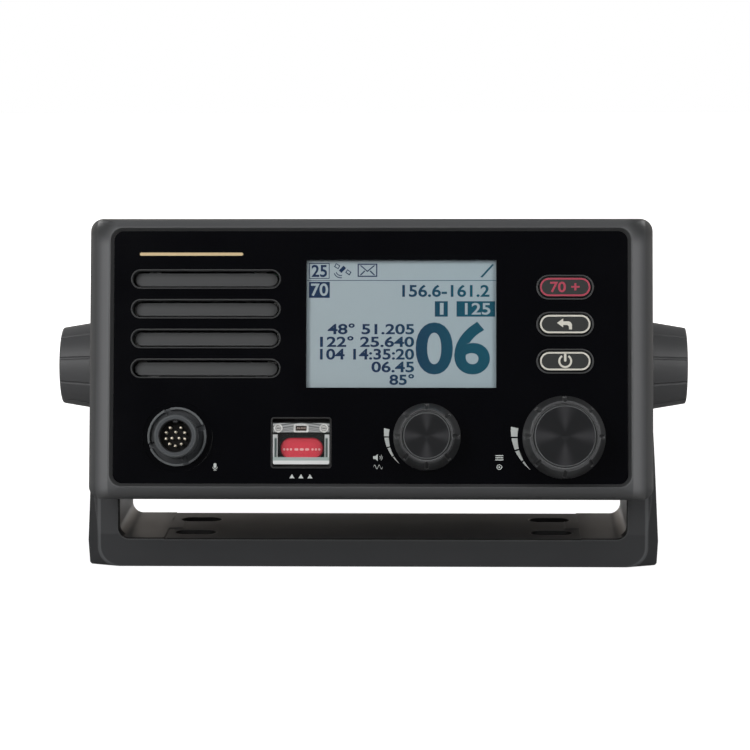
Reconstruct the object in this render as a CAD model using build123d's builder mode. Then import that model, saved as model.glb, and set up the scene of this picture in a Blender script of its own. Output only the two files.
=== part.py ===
from build123d import *
import math
import os

# Fixed-mount VHF marine radio on its gimbal bracket. Millimetres, +Z up.
# Origin: centre of the bracket's underside. +X is the user's right, -Y faces the user.
# The radio's head hangs between the bracket's arms, tilted nose-up about the clamp studs.

os.makedirs("parts", exist_ok=True)

# ---- driving dimensions ------------------------------------------------------------

# pose of the head on its bracket
pivot_height = 70.5
head_tilt = 11.5
pivot_depth = 48.0

# general clearances
slide_gap = 0.3
fit_gap = 0.1
running_gap = 0.05
hex_sides = 6

# front bezel
bezel_width = 201.4
bezel_height = 100.6
bezel_corner = 4.6
bezel_depth = 20.0
band_side = 7.95
band_top = 4.0
rear_taper = 0.9
band_depth = 10.0
bulge_depth = 4.2
bulge_side = 5.4
bulge_top = 2.8
ridge_land = 0.35
lip_width = 1.4
lip_depth = 1.5
floor_thickness = 3.0
bezel_wall_side = 9.7
bezel_wall_top = 9.1
flange_recess = 3.0
seam_depth = 4.5

# front panel
panel_corner = 3.4
panel_thickness = 2.0

# speaker grille
grille_x = -58.5
grille_y = 11.9
slot_count = 4
slot_pitch = 10.6
slot_length = 53.5
slot_width = 7.1
rim_width = 0.5
rim_height = 0.3
bar_length = 51.0
bar_width = 4.7
bar_setback = 3.5
bar_thickness = 4.8
grille_margin = 2.5
grille_plate = 1.8
rib_width = 2.0
rib_spacing = 30.0

# speaker
speaker_gap = 1.1
speaker_ring = 3.0
speaker_rim = 1.7
speaker_depth = 16.0
basket_wall = 1.0
magnet_radius = 14.0
magnet_thickness = 7.0
cone_hub_radius = 7.0
cone_depth = 8.0
cone_wall = 0.6
cone_gap = 0.4

# display
display_gap = 9.1
display_y = 11.9
display_width = 67.3
display_height = 45.3
module_margin = 4.4
module_step = 0.3
module_thickness = 2.5
backlight_margin = 1.0

# microphone socket
mic_x = -68.3
mic_y = -28.4
mic_ring_radius = 10.45
mic_ring_wall = 0.8
mic_channel_depth = 1.6
mic_ring_height = 2.5
mic_notch_count = 4
mic_notch_width = 2.0
mic_notch_angle = 19.5
mic_notch_depth = 2.2
mic_barrel_radius = 7.5
mic_barrel_height = 9.5
mic_bore_radius = 5.55
mic_body_radius = 7.0
mic_key_width = 1.6
mic_key_height = 0.8
mic_rim_chamfer = 0.4
mic_insert_drop = 5.5
mic_insert_length = 12.0
mic_pin_radius = 0.45
mic_pin_height = 4.0
mic_pin_tail = 2.0
mic_outer_pins = 9
mic_outer_pin_circle = 3.46
mic_outer_pin_start = 57.5
mic_outer_pin_pitch = 36.9
mic_inner_pins = 3
mic_inner_pin_circle = 1.46
mic_inner_pin_start = 90.0
mic_nut_width = 19.0
mic_nut_thickness = 2.5
mic_recess_radius = 12.4
mic_recess_depth = 0.35

# distress key under its hinged cover
distress_x = -24.4
distress_y = -30.4
well_width = 21.4
well_height = 18.1
well_corner = 1.1
well_wall = 0.5
well_depth = 9.5
well_floor = 1.0
cover_side_gap = 0.2
cover_height = 14.6
cover_corner = 0.55
cover_drop = 0.3
cover_plate = 1.4
cover_stand = 0.0
cover_rail = 1.6
cover_rail_depth = 1.7
cover_lip = 2.5
cover_bar = 3.3
cover_bar_thickness = 2.7
hinge_drop = 1.85
hinge_pin_radius = 0.6
boss_radius = 1.6
boss_spacing = 16.2
boss_height = 0.4
tab_width = 4.8
tab_height = 2.4
spring_radius = 1.0
spring_length = 4.4
distress_key_width = 15.3
distress_key_height = 7.7
distress_key_drop = 1.9
distress_key_set = 1.7
distress_key_thickness = 2.4
distress_travel = 1.2
distress_stem_radius = 2.4

# turning knobs with push switches
volume_x = 20.2
volume_y = -28.3
volume_base_radius = 11.95
volume_front_radius = 9.5
volume_cap_radius = 8.25
menu_x = 68.6
menu_y = -28.4
menu_base_radius = 14.7
menu_front_radius = 12.3
menu_cap_radius = 10.8
knob_height = 12.4
knob_stand = 1.1
knob_edge = 0.5
knob_groove_count = 8
knob_groove_radius = 0.8
knob_groove_depth = 0.45
knob_groove_lift = 2.6
cap_groove = 0.6
cap_thickness = 1.2
cap_edge = 0.3
cap_dish = 0.15
knob_travel = 0.7
shaft_radius = 3.0
shaft_seat = 7.0
bush_radius = 3.5
bush_stand = 2.5
bush_nut_width = 10.0
bush_nut_thickness = 1.8
knob_pocket_radius = 6.6
knob_pocket_depth = 3.2
encoder_size = 12.0
plunger_radius = 4.2
plunger_thickness = 1.2

# push keys
key_x = 69.05
key_y = 11.75
key_count = 3
key_pitch = 13.15
key_width = 18.5
key_height = 7.2
key_proud = 1.1
key_rim_width = 20.4
key_rim_height = 8.8
key_rim_proud = 0.4
key_flange = 1.0
key_flange_thickness = 1.0
key_stem_radius = 2.0
key_travel = 0.8
key_edge = 0.4
switch_size = 6.0
switch_height = 3.0
switch_button_radius = 1.7
switch_button_height = 0.8
distress_switch_height = 1.6
distress_button_height = 0.5

# front circuit board
front_board_depth = 13.4
front_board_left = -46.0
front_board_right = 82.0
front_board_height = 72.0
board_thickness = 1.6
post_radius = 2.4
front_post_low = -33.0
front_post_high = 33.0
front_posts_low = (-42.0, 0.0, 45.0, 78.0)
front_posts_high = (54.0, 78.0)
screw_head_radius = 2.2
screw_head_height = 1.4

# die-cast chassis
case_inset_side = 9.2
case_inset_top = 8.55
case_corner = 4.0
case_wall = 3.0
gasket_thickness = 1.0
case_notch = 9.0
notch_setback = 4.0
fin_count = 23
fin_pitch = 7.8
fin_thickness = 2.0
fin_tip_thickness = 1.3
fin_length = 16.0
fin_low = -8.0
fin_high = 38.0
insert_radius = 5.0
insert_length = 10.0
insert_wall = 3.0
case_screw_radius = 1.6
case_screw_head = 3.0
case_screw_head_height = 2.4
case_screw_length = 13.0
case_boss_radius = 4.2

# main circuit board and its shield
main_board_width = 150.0
main_board_depth = 78.0
main_board_front = 29.0
main_board_drop = 22.0
main_board_end = 2.0
main_post_inset = 6.0
main_post_radius = 3.0
shield_width = 74.0
shield_depth = 56.0
shield_height = 15.0
shield_wall = 1.0
shield_x = 24.0

# rear connectors
connector_rise = 16.75
antenna_x = 62.0
antenna_flange = 25.4
antenna_flange_thickness = 1.6
antenna_radius = 7.94
antenna_length = 14.0
antenna_bore_radius = 5.6
antenna_bore_depth = 8.0
antenna_insulator_radius = 4.6
antenna_insulator_length = 6.0
antenna_contact_radius = 2.6
antenna_contact_bore = 1.97
antenna_screw_pitch = 18.2
gps_x = 30.0
gps_radius = 4.85
gps_length = 13.0
gps_flange_radius = 7.2
gps_flange_thickness = 2.0
gps_bore_radius = 4.05
gps_bore_depth = 9.0
gps_insulator_radius = 2.4
gps_insulator_length = 7.0
gps_contact_radius = 0.7
gps_lug_radius = 1.0
gps_lug_height = 1.2
gps_lug_setback = 4.0
network_x = 0.0
network_radius = 6.0
network_length = 12.0
network_flange = 9.0
network_flange_thickness = 3.0
network_bore_radius = 4.9
network_bore_depth = 9.0
network_pin_count = 4
network_pin_circle = 2.5
network_pin_start = 45.0
network_pin_radius = 0.5
network_pin_length = 7.0
gland_x = -36.0
gland_nut_radius = 8.6
gland_nose_radius = 6.6
gland_nose_length = 5.0
gland_hex_width = 20.0
gland_hex_length = 5.0
gland_length = 15.0
gland_bore_radius = 4.0
gland_bore_depth = 13.0
ground_x = -68.0
ground_washer_radius = 4.5
ground_washer_thickness = 1.0
ground_head_radius = 4.0
ground_head_height = 2.6

# gimbal bracket
base_wall = 10.9
shoulder_wall = 11.4
arm_top_wall = 7.4
shoulder_height = 9.0
bevel_depth = 4.0
base_bevel = 4.2
shoulder_bevel = 4.4
arm_top_bevel = 0.7
bracket_front_corner = 7.3
bracket_corner = 1.2
bracket_depth = 52.0
base_height = 10.2
inner_corner = 4.0
arm_half_width = 17.0
arm_waist_height = 12.0
arm_waist_radius = 14.0
arm_land_radius = 18.5
arm_land_depth = 1.0
base_skin = 3.6
base_end_wall = 5.45
cell_rib = 2.2
cell_columns = 9
base_skirt = 2.6
mount_spacing_x = 131.0
mount_spacing_y = 25.0
mount_slot_length = 15.2
mount_slot_width = 8.0
mount_boss_wall = 2.2
pan_depth = 0.2
pan_margin = 3.0
pan_tab_length = 5.2
pan_tab_width = 13.0
pan_tab_y = 2.0
stud_bore_gap = 0.3

# clamp knobs and their studs
clamp_base_radius = 16.4
clamp_end_radius = 13.95
clamp_length = 14.65
clamp_edge = 0.7
clamp_groove_count = 10
clamp_groove_radius = 0.6
clamp_groove_depth = 0.45
stud_radius = 3.0
stud_reach = 8.5
stud_head_width = 10.0
stud_head_thickness = 4.0
stud_head_cover = 4.5
washer_radius = 14.0
washer_thickness = 1.0

# ---- frames ------------------------------------------------------------------------

tilt = math.radians(head_tilt)
forward = Vector(0, -math.cos(tilt), math.sin(tilt))
pivot = Vector(0, 0, pivot_height)
face = Plane(pivot + forward * pivot_depth, x_dir=(1, 0, 0), z_dir=forward)
front_axis = Axis(face.origin, face.z_dir)


def head_plane(depth, x=0.0, y=0.0):
    """Plane parallel to the radio's face, at a depth behind its front edge."""
    origin = face.from_local_coords((x, y, -depth))
    return Plane(origin, x_dir=face.x_dir, z_dir=face.z_dir)


def side_plane(distance, side):
    """Plane square to the pivot axis, on the side +1 or -1, facing outwards."""
    return Plane((side * distance, 0, pivot_height), x_dir=(0, 1, 0), z_dir=(side, 0, 0))


def profile_plane(base):
    """Plane through a base plane's normal: x is a radius, y is a height above the base."""
    return Plane(base.origin, x_dir=base.x_dir, z_dir=-base.y_dir)


def turned(base, points):
    """Revolve a profile of (radius, height) points about a base plane's normal."""
    with BuildSketch(profile_plane(base)) as profile:
        with BuildLine():
            Polyline(*points, close=True)
        make_face()
    revolve(profile.sketch, axis=Axis(base.origin, base.z_dir))


def disc(plane, radius, length, mode=Mode.ADD):
    """Round bar or bore from a plane, length along its normal."""
    with BuildSketch(plane) as section:
        Circle(radius)
    extrude(section.sketch, amount=length, mode=mode)


def block(plane, width, height, length, mode=Mode.ADD):
    """Rectangular bar or pocket from a plane, length along its normal."""
    with BuildSketch(plane) as section:
        Rectangle(width, height)
    extrude(section.sketch, amount=length, mode=mode)


def cut_grips(base, base_radius, end_radius, height, count, radius, depth, start=0.0, lift=0.0):
    """Cut grip grooves that follow a tapered knob's side, from a height above its base outwards."""
    for index in range(count):
        angle = math.radians(start + index * 360.0 / count)
        outward = base.x_dir * math.cos(angle) + base.y_dir * math.sin(angle)
        lean = outward * (end_radius - base_radius) + base.z_dir * height
        centre = base.origin + outward * (base_radius + radius - depth) + lean * (lift / height)
        foot = Plane(centre, x_dir=base.x_dir, z_dir=base.z_dir)
        with BuildSketch(foot) as groove:
            Circle(radius)
        reach = lean.length + slide_gap
        extrude(groove.sketch, amount=reach, dir=lean.normalized(), mode=Mode.SUBTRACT)


def save(part, name):
    """Label a finished piece and write its STEP file."""
    part.label = name
    export_step(part, f"parts/{name}.step")


# ---- derived depths, measured back from the bezel's front edge ---------------------

panel_front = lip_depth
panel_back = panel_front + panel_thickness
floor_back = panel_back + floor_thickness
seat_depth = bezel_depth - seam_depth
flange_front = seat_depth + gasket_thickness
case_inner_back = main_board_front + main_board_depth + main_board_end
case_back = case_inner_back + case_wall

case_width = bezel_width - 2 * case_inset_side
case_height = bezel_height - 2 * case_inset_top
ridge_width = bezel_width - 2 * band_side
ridge_height = bezel_height - 2 * band_top
panel_width = ridge_width - 2 * lip_width
panel_height = ridge_height - 2 * lip_width
cavity_width = bezel_width - 2 * bezel_wall_side
cavity_height = bezel_height - 2 * bezel_wall_top
recess_width = cavity_width + 2 * flange_recess
recess_height = cavity_height + 2 * flange_recess

connector_y = connector_rise - case_height / 2
case_screw_x = (case_width - case_notch) / 2
case_screw_y = (case_height - case_notch) / 2
slot_rows = [grille_y + (row - (slot_count - 1) / 2) * slot_pitch for row in range(slot_count)]
key_rows = [key_y + ((key_count - 1) / 2 - row) * key_pitch for row in range(key_count)]
display_x = grille_x + (slot_length + display_width) / 2 + display_gap
encoder_places = ((volume_x, volume_y), (menu_x, menu_y))

# ---- gimbal bracket ----------------------------------------------------------------

arm_top = pivot_height + arm_half_width
half_depth = bracket_depth / 2
case_half = case_width / 2
arm_inner = case_half + washer_thickness + slide_gap
base_half = arm_inner + base_wall
shoulder_half = arm_inner + shoulder_wall
arm_top_half = arm_inner + arm_top_wall
lean = (shoulder_half - arm_top_half) / (arm_top - shoulder_height)
clamp_seat = arm_top_half + lean * arm_half_width - arm_land_depth

with BuildPart() as mounting_bracket:
    # outer block: sides lean in above and below the shoulder, front edge bevelled
    front = Plane.XZ.offset(half_depth)
    shoulder = Plane.XZ.offset(half_depth - bevel_depth)
    beveled = (base_half - base_bevel, shoulder_half - shoulder_bevel, arm_top_half - arm_top_bevel)
    full = (base_half, shoulder_half, arm_top_half)
    for plane, halves, corner in (
        (front, beveled, bracket_front_corner),
        (shoulder, full, bracket_corner),
    ):
        low, middle, high = halves
        with BuildSketch(plane) as outline:
            with BuildLine():
                Polyline(
                    (-low, 0),
                    (low, 0),
                    (middle, shoulder_height),
                    (high, arm_top),
                    (-high, arm_top),
                    (-middle, shoulder_height),
                    close=True,
                )
            make_face()
            fillet(outline.vertices().group_by(Axis.Z)[0], corner)
    loft(ruled=True)
    extrude(outline.sketch, amount=-(bracket_depth - bevel_depth))
    # opening between the arms
    with BuildSketch(front) as opening:
        with Locations((0, base_height + arm_top / 2)):
            Rectangle(2 * arm_inner, arm_top)
        fillet(opening.vertices().group_by(Axis.Z)[0], inner_corner)
    extrude(amount=-bracket_depth, mode=Mode.SUBTRACT)
    # side view: arms narrow above the base and end in a round about the pivot
    with BuildSketch(Plane.YZ.offset(-shoulder_half)) as side_view:
        with BuildLine():
            Polyline(
                (-arm_half_width, pivot_height),
                (-half_depth, arm_waist_height),
                (-half_depth, 0),
                (half_depth, 0),
                (half_depth, arm_waist_height),
                (arm_half_width, pivot_height),
            )
            ThreePointArc(
                (arm_half_width, pivot_height),
                (0, arm_top),
                (-arm_half_width, pivot_height),
            )
        make_face()
        waist_corners = [v for v in side_view.vertices() if abs(v.Z - arm_waist_height) < slide_gap]
        fillet(waist_corners, arm_waist_radius)
    extrude(amount=2 * shoulder_half, mode=Mode.INTERSECT)
    # shallow pan in the base's upper face, with a tab between each pair of slots
    pan_half = (mount_spacing_x + mount_slot_length) / 2 + pan_margin
    with BuildSketch(Plane.XY.offset(base_height - pan_depth)):
        Rectangle(2 * pan_half, bracket_depth)
        with Locations((pan_half, pan_tab_y), (-pan_half, pan_tab_y)):
            Rectangle(2 * pan_tab_length, pan_tab_width, mode=Mode.SUBTRACT)
    extrude(amount=base_height, mode=Mode.SUBTRACT)
    # ribbed underside
    cell_depth = half_depth - base_skirt - cell_rib / 2
    cell_pitch = 2 * (base_half - base_end_wall) / cell_columns
    with BuildSketch(Plane.XY):
        with GridLocations(cell_pitch, cell_depth + cell_rib, cell_columns, 2):
            Rectangle(cell_pitch - cell_rib, cell_depth)
        with GridLocations(mount_spacing_x, mount_spacing_y, 2, 2):
            SlotOverall(
                mount_slot_length + 2 * mount_boss_wall,
                mount_slot_width + 2 * mount_boss_wall,
                mode=Mode.SUBTRACT,
            )
    extrude(amount=base_height - base_skin, mode=Mode.SUBTRACT)
    # four mounting slots
    with BuildSketch(Plane.XY):
        with GridLocations(mount_spacing_x, mount_spacing_y, 2, 2):
            SlotOverall(mount_slot_length, mount_slot_width)
    extrude(amount=base_height, mode=Mode.SUBTRACT)
    # stud bores through both arms
    with BuildSketch(side_plane(-shoulder_half, 1)):
        Circle(stud_radius + stud_bore_gap)
    extrude(amount=2 * shoulder_half, mode=Mode.SUBTRACT)
    # flat seats for the clamp knobs on the leaning outer faces
    for side in (-1, 1):
        disc(side_plane(clamp_seat, side), arm_land_radius, shoulder_half, Mode.SUBTRACT)
save(mounting_bracket.part, "mounting_bracket")

# ---- clamp knobs, studs, washers and threaded inserts ------------------------------

clamp_foot = clamp_seat + slide_gap
stud_tip = case_half - stud_reach
stud_head_end = clamp_foot + clamp_length - stud_head_cover

for side, hand in ((-1, "left"), (1, "right")):
    with BuildPart() as clamp_knob:
        foot = side_plane(clamp_foot, side)
        turned(
            foot,
            (
                (0, 0),
                (clamp_base_radius, 0),
                (clamp_end_radius, clamp_length),
                (0, clamp_length),
            ),
        )
        rims = clamp_knob.edges().filter_by(GeomType.CIRCLE)
        fillet(max(rims, key=lambda rim: abs(rim.center().X)), clamp_edge)
        cut_grips(
            foot,
            clamp_base_radius,
            clamp_end_radius,
            clamp_length,
            clamp_groove_count,
            clamp_groove_radius,
            clamp_groove_depth,
            start=180.0 / clamp_groove_count,
        )
        disc(foot, stud_radius, stud_head_end - clamp_foot - stud_head_thickness, Mode.SUBTRACT)
        with BuildSketch(side_plane(stud_head_end - stud_head_thickness, side)):
            RegularPolygon(stud_head_width / 2, hex_sides, major_radius=False)
        extrude(amount=stud_head_thickness, mode=Mode.SUBTRACT)
    save(clamp_knob.part, f"clamp_knob_{hand}")

    with BuildPart() as clamp_stud:
        shank = stud_head_end - stud_head_thickness - stud_tip
        disc(side_plane(stud_tip, side), stud_radius, shank)
        with BuildSketch(side_plane(stud_tip + shank, side)):
            RegularPolygon(stud_head_width / 2, hex_sides, major_radius=False)
        extrude(amount=stud_head_thickness)
    save(clamp_stud.part, f"clamp_stud_{hand}")

with BuildPart() as pivot_washers:
    for side in (-1, 1):
        with BuildSketch(side_plane(case_half, side)):
            Circle(washer_radius)
            Circle(insert_radius, mode=Mode.SUBTRACT)
        extrude(amount=washer_thickness)
save(pivot_washers.part, "pivot_washers")

with BuildPart() as pivot_inserts:
    for side in (-1, 1):
        with BuildSketch(side_plane(case_half - insert_length, side)):
            Circle(insert_radius)
            Circle(stud_radius + running_gap, mode=Mode.SUBTRACT)
        extrude(amount=insert_length)
save(pivot_inserts.part, "pivot_inserts")

# ---- front bezel -------------------------------------------------------------------

bulge_width = ridge_width + 2 * bulge_side
bulge_height = ridge_height + 2 * bulge_top

with BuildPart() as front_bezel:
    # outer wall, tapering a little towards the back
    rear_outline = 2 * rear_taper
    with BuildSketch(head_plane(bezel_depth)):
        RectangleRounded(bezel_width - rear_outline, bezel_height - rear_outline, bezel_corner)
    with BuildSketch(head_plane(band_depth)):
        RectangleRounded(bezel_width, bezel_height, bezel_corner)
    loft(ruled=True)
    # convex band from the outer wall to the front ridge
    sections = (
        (band_depth, bezel_width, bezel_height),
        (bulge_depth, bulge_width, bulge_height),
        (0.0, ridge_width, ridge_height),
    )
    for depth, width, height in sections:
        with BuildSketch(head_plane(depth)):
            RectangleRounded(width, height, bezel_corner)
    loft()
    # sloping lip down to the panel, and the panel's seat
    land = 2 * ridge_land
    with BuildSketch(head_plane(0.0)):
        RectangleRounded(ridge_width - land, ridge_height - land, bezel_corner - ridge_land)
    with BuildSketch(head_plane(lip_depth)):
        RectangleRounded(panel_width, panel_height, panel_corner)
    loft(mode=Mode.SUBTRACT)
    with BuildSketch(head_plane(lip_depth)):
        RectangleRounded(panel_width, panel_height, panel_corner)
    extrude(amount=-panel_thickness, mode=Mode.SUBTRACT)
    # hollow back, stepped for the gasket and the chassis flange
    with BuildSketch(head_plane(floor_back)):
        RectangleRounded(cavity_width, cavity_height, bezel_corner)
    extrude(amount=floor_back - bezel_depth, mode=Mode.SUBTRACT)
    with BuildSketch(head_plane(seat_depth)):
        RectangleRounded(recess_width, recess_height, bezel_corner)
    extrude(amount=seat_depth - bezel_depth, mode=Mode.SUBTRACT)
    # screw bosses in the corners, and posts for the front board
    with BuildSketch(head_plane(floor_back)):
        with GridLocations(2 * case_screw_x, 2 * case_screw_y, 2, 2):
            Circle(case_boss_radius)
    extrude(amount=floor_back - seat_depth)
    with BuildSketch(head_plane(floor_back)):
        with Locations(*[(x, front_post_low) for x in front_posts_low]):
            Circle(post_radius)
        with Locations(*[(x, front_post_high) for x in front_posts_high]):
            Circle(post_radius)
    extrude(amount=floor_back - front_board_depth)
    with BuildSketch(head_plane(floor_back)):
        with GridLocations(2 * case_screw_x, 2 * case_screw_y, 2, 2):
            Circle(case_screw_radius)
    extrude(amount=floor_back - seat_depth, mode=Mode.SUBTRACT)
    # openings in the floor behind the panel
    with BuildSketch(head_plane(panel_back)):
        with Locations(*[(grille_x, y) for y in slot_rows]):
            SlotOverall(slot_length, slot_width)
        with Locations((display_x, display_y)):
            Rectangle(display_width + 2 * module_step, display_height + 2 * module_step)
        with Locations((mic_x, mic_y)):
            Circle(mic_body_radius + fit_gap)
        with Locations(*encoder_places):
            Circle(bush_radius + fit_gap)
        with Locations(*[(key_x, y) for y in key_rows]):
            SlotOverall(key_width + 2 * slide_gap, key_height + 2 * slide_gap)
        with Locations((distress_x, distress_y)):
            Rectangle(well_width + fit_gap, well_height + fit_gap)
    extrude(amount=-floor_thickness, mode=Mode.SUBTRACT)
save(front_bezel.part, "front_bezel")

# ---- front panel -------------------------------------------------------------------

with BuildPart() as front_panel:
    with BuildSketch(head_plane(panel_front)):
        RectangleRounded(panel_width - fit_gap, panel_height - fit_gap, panel_corner)
        with Locations(*[(grille_x, y) for y in slot_rows]):
            SlotOverall(slot_length, slot_width, mode=Mode.SUBTRACT)
        with Locations((display_x, display_y)):
            Rectangle(display_width + fit_gap, display_height + fit_gap, mode=Mode.SUBTRACT)
        with Locations((mic_x, mic_y)):
            Circle(mic_body_radius + fit_gap, mode=Mode.SUBTRACT)
        with Locations(*encoder_places):
            Circle(bush_radius + fit_gap, mode=Mode.SUBTRACT)
        with Locations(*[(key_x, y) for y in key_rows]):
            SlotOverall(key_rim_width, key_rim_height, mode=Mode.SUBTRACT)
        with Locations((distress_x, distress_y)):
            RectangleRounded(well_width + fit_gap, well_height + fit_gap, well_corner, mode=Mode.SUBTRACT)
    extrude(amount=-panel_thickness)
    disc(head_plane(panel_front, mic_x, mic_y), mic_recess_radius, -mic_recess_depth, Mode.SUBTRACT)
save(front_panel.part, "front_panel")

# ---- speaker grille and speaker ----------------------------------------------------

bar_front = panel_front + bar_setback
bar_back = bar_front + bar_thickness
grille_back = floor_back + grille_plate
grille_height = slot_pitch * (slot_count - 1) + slot_width + 2 * grille_margin
hole_length = slot_length - 2 * rim_width - fit_gap
hole_width = slot_width - 2 * rim_width - fit_gap

with BuildPart() as speaker_grille:
    with BuildSketch(head_plane(floor_back, grille_x, grille_y)):
        RectangleRounded(
            slot_length + 2 * grille_margin,
            grille_height,
            slot_width / 2 + grille_margin,
        )
    extrude(amount=-grille_plate)
    # rims that stand through the floor and the panel
    with BuildSketch(head_plane(panel_front - rim_height)):
        with Locations(*[(grille_x, y) for y in slot_rows]):
            SlotOverall(slot_length - fit_gap, slot_width - fit_gap)
    extrude(amount=panel_front - rim_height - floor_back)
    with BuildSketch(head_plane(panel_front - rim_height)):
        with Locations(*[(grille_x, y) for y in slot_rows]):
            SlotOverall(hole_length, hole_width)
    extrude(amount=panel_front - rim_height - grille_back, mode=Mode.SUBTRACT)
    # set-back bars, tied to the plate by two ribs
    with BuildSketch(head_plane(bar_front)):
        with Locations(*[(grille_x, y) for y in slot_rows]):
            SlotOverall(bar_length, bar_width)
    extrude(amount=bar_front - bar_back)
    with BuildSketch(head_plane(grille_back)):
        with Locations((grille_x - rib_spacing / 2, grille_y), (grille_x + rib_spacing / 2, grille_y)):
            Rectangle(rib_width, grille_height)
    extrude(amount=grille_back - bar_back)
save(speaker_grille.part, "speaker_grille")

speaker_front = bar_back
speaker_radius = cavity_height / 2 - grille_y - speaker_gap
cone_radius = speaker_radius - speaker_ring
with BuildPart() as speaker_frame:
    turned(
        head_plane(speaker_front, grille_x, grille_y),
        (
            (cone_radius, 0),
            (speaker_radius, 0),
            (speaker_radius, -speaker_rim),
            (cone_radius + basket_wall, -speaker_rim),
            (magnet_radius, magnet_thickness - speaker_depth),
            (magnet_radius, -speaker_depth),
            (0, -speaker_depth),
            (0, -cone_depth - cone_gap),
            (cone_hub_radius, -cone_depth - cone_gap),
            (cone_radius, -cone_wall - cone_gap),
        ),
    )
save(speaker_frame.part, "speaker_frame")

with BuildPart() as speaker_cone:
    turned(
        head_plane(speaker_front, grille_x, grille_y),
        (
            (cone_radius, 0),
            (cone_radius, -cone_wall),
            (cone_hub_radius, -cone_depth),
            (0, -cone_depth),
            (0, -cone_depth + cone_wall),
            (cone_hub_radius, -cone_depth + cone_wall),
            (cone_radius - 2 * cone_wall, 0),
        ),
    )
save(speaker_cone.part, "speaker_cone")

# ---- display -----------------------------------------------------------------------

with BuildPart() as display_window:
    block(
        head_plane(panel_front, display_x, display_y),
        display_width,
        display_height,
        -panel_thickness,
    )
save(display_window.part, "display_window")

module_width = display_width + 2 * module_margin
module_height = display_height + 2 * module_margin
with BuildPart() as display_module:
    block(
        head_plane(panel_back + fit_gap, display_x, display_y),
        display_width,
        display_height,
        fit_gap - floor_thickness,
    )
    block(
        head_plane(floor_back, display_x, display_y),
        module_width,
        module_height,
        -module_thickness,
    )
save(display_module.part, "display_module")

backlight_front = floor_back + module_thickness
with BuildPart() as display_backlight:
    block(
        head_plane(backlight_front, display_x, display_y),
        module_width - 2 * backlight_margin,
        module_height - 2 * backlight_margin,
        backlight_front - front_board_depth,
    )
save(display_backlight.part, "display_backlight")

# ---- microphone socket -------------------------------------------------------------

mic_seat = panel_front + mic_recess_depth
mic_front = panel_front - mic_barrel_height
mic_ring_front = panel_front - mic_ring_height
mic_body_back = floor_back + mic_nut_thickness
with BuildPart() as mic_socket_shell:
    # bayonet ring: a notched outer wall round a sunk channel
    disc(head_plane(mic_seat, mic_x, mic_y), mic_ring_radius, mic_seat - mic_ring_front)
    with BuildSketch(head_plane(mic_ring_front, mic_x, mic_y)):
        Circle(mic_ring_radius - mic_ring_wall)
    extrude(amount=-mic_channel_depth, mode=Mode.SUBTRACT)
    with BuildSketch(head_plane(mic_ring_front, mic_x, mic_y)):
        with PolarLocations(mic_ring_radius, mic_notch_count, start_angle=mic_notch_angle):
            Rectangle(2 * (mic_ring_radius - mic_barrel_radius), mic_notch_width)
    extrude(amount=-mic_notch_depth, mode=Mode.SUBTRACT)
    # barrel with a keyed bore
    disc(head_plane(mic_seat, mic_x, mic_y), mic_barrel_radius, mic_seat - mic_front)
    disc(head_plane(mic_seat, mic_x, mic_y), mic_body_radius, mic_seat - mic_body_back)
    disc(
        head_plane(mic_front, mic_x, mic_y),
        mic_bore_radius,
        mic_front - mic_body_back,
        Mode.SUBTRACT,
    )
    key_centre = mic_bore_radius - mic_key_height / 2 + fit_gap
    mic_insert_front = mic_front + mic_insert_drop
    block(
        head_plane(mic_front + mic_key_height, mic_x, mic_y + key_centre),
        mic_key_width,
        mic_key_height + 2 * fit_gap,
        mic_front + mic_key_height - mic_insert_front,
    )
    rims = mic_socket_shell.edges().filter_by(GeomType.CIRCLE)
    front_rims = [rim for rim in rims if abs(face.to_local_coords(rim.center()).Z + mic_front) < fit_gap]
    chamfer(front_rims, mic_rim_chamfer)
save(mic_socket_shell.part, "mic_socket_shell")

with BuildPart() as mic_socket_insert:
    disc(head_plane(mic_insert_front, mic_x, mic_y), mic_bore_radius, -mic_insert_length)
    pin_centres = []
    for index in range(mic_outer_pins):
        angle = math.radians(mic_outer_pin_start - index * mic_outer_pin_pitch)
        pin_centres.append(
            (mic_outer_pin_circle * math.cos(angle), mic_outer_pin_circle * math.sin(angle))
        )
    for index in range(mic_inner_pins):
        angle = math.radians(mic_inner_pin_start + index * 360.0 / mic_inner_pins)
        pin_centres.append(
            (mic_inner_pin_circle * math.cos(angle), mic_inner_pin_circle * math.sin(angle))
        )
    with BuildSketch(head_plane(mic_insert_front, mic_x, mic_y)):
        with Locations(*pin_centres):
            Circle(mic_pin_radius)
    extrude(amount=-mic_insert_length, mode=Mode.SUBTRACT)
save(mic_socket_insert.part, "mic_socket_insert")

with BuildPart() as mic_socket_pins:
    with BuildSketch(head_plane(mic_insert_front - mic_pin_height, mic_x, mic_y)):
        with Locations(*pin_centres):
            Circle(mic_pin_radius)
    extrude(amount=-(mic_pin_height + mic_insert_length + mic_pin_tail))
save(mic_socket_pins.part, "mic_socket_pins")

with BuildPart() as mic_socket_nut:
    with BuildSketch(head_plane(floor_back, mic_x, mic_y)):
        RegularPolygon(mic_nut_width / 2, hex_sides, major_radius=False)
        Circle(mic_body_radius, mode=Mode.SUBTRACT)
    extrude(amount=-mic_nut_thickness)
save(mic_socket_nut.part, "mic_socket_nut")

# ---- distress key: well, pin, spring, cover and key ---------------------------------

well_top = distress_y + well_height / 2
cover_width = well_width - 2 * well_wall - 2 * cover_side_gap
cover_centre_y = distress_y - cover_drop
cover_top = cover_centre_y + cover_height / 2
cover_front = panel_front - cover_stand
cover_back = cover_front + cover_plate
hinge_y = cover_top - hinge_drop
hinge_depth = cover_front + cover_bar_thickness / 2
key_front = cover_back + cover_rail_depth + distress_key_set - fit_gap
well_back = panel_front + well_depth
distress_key_y = distress_y - distress_key_drop

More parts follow.
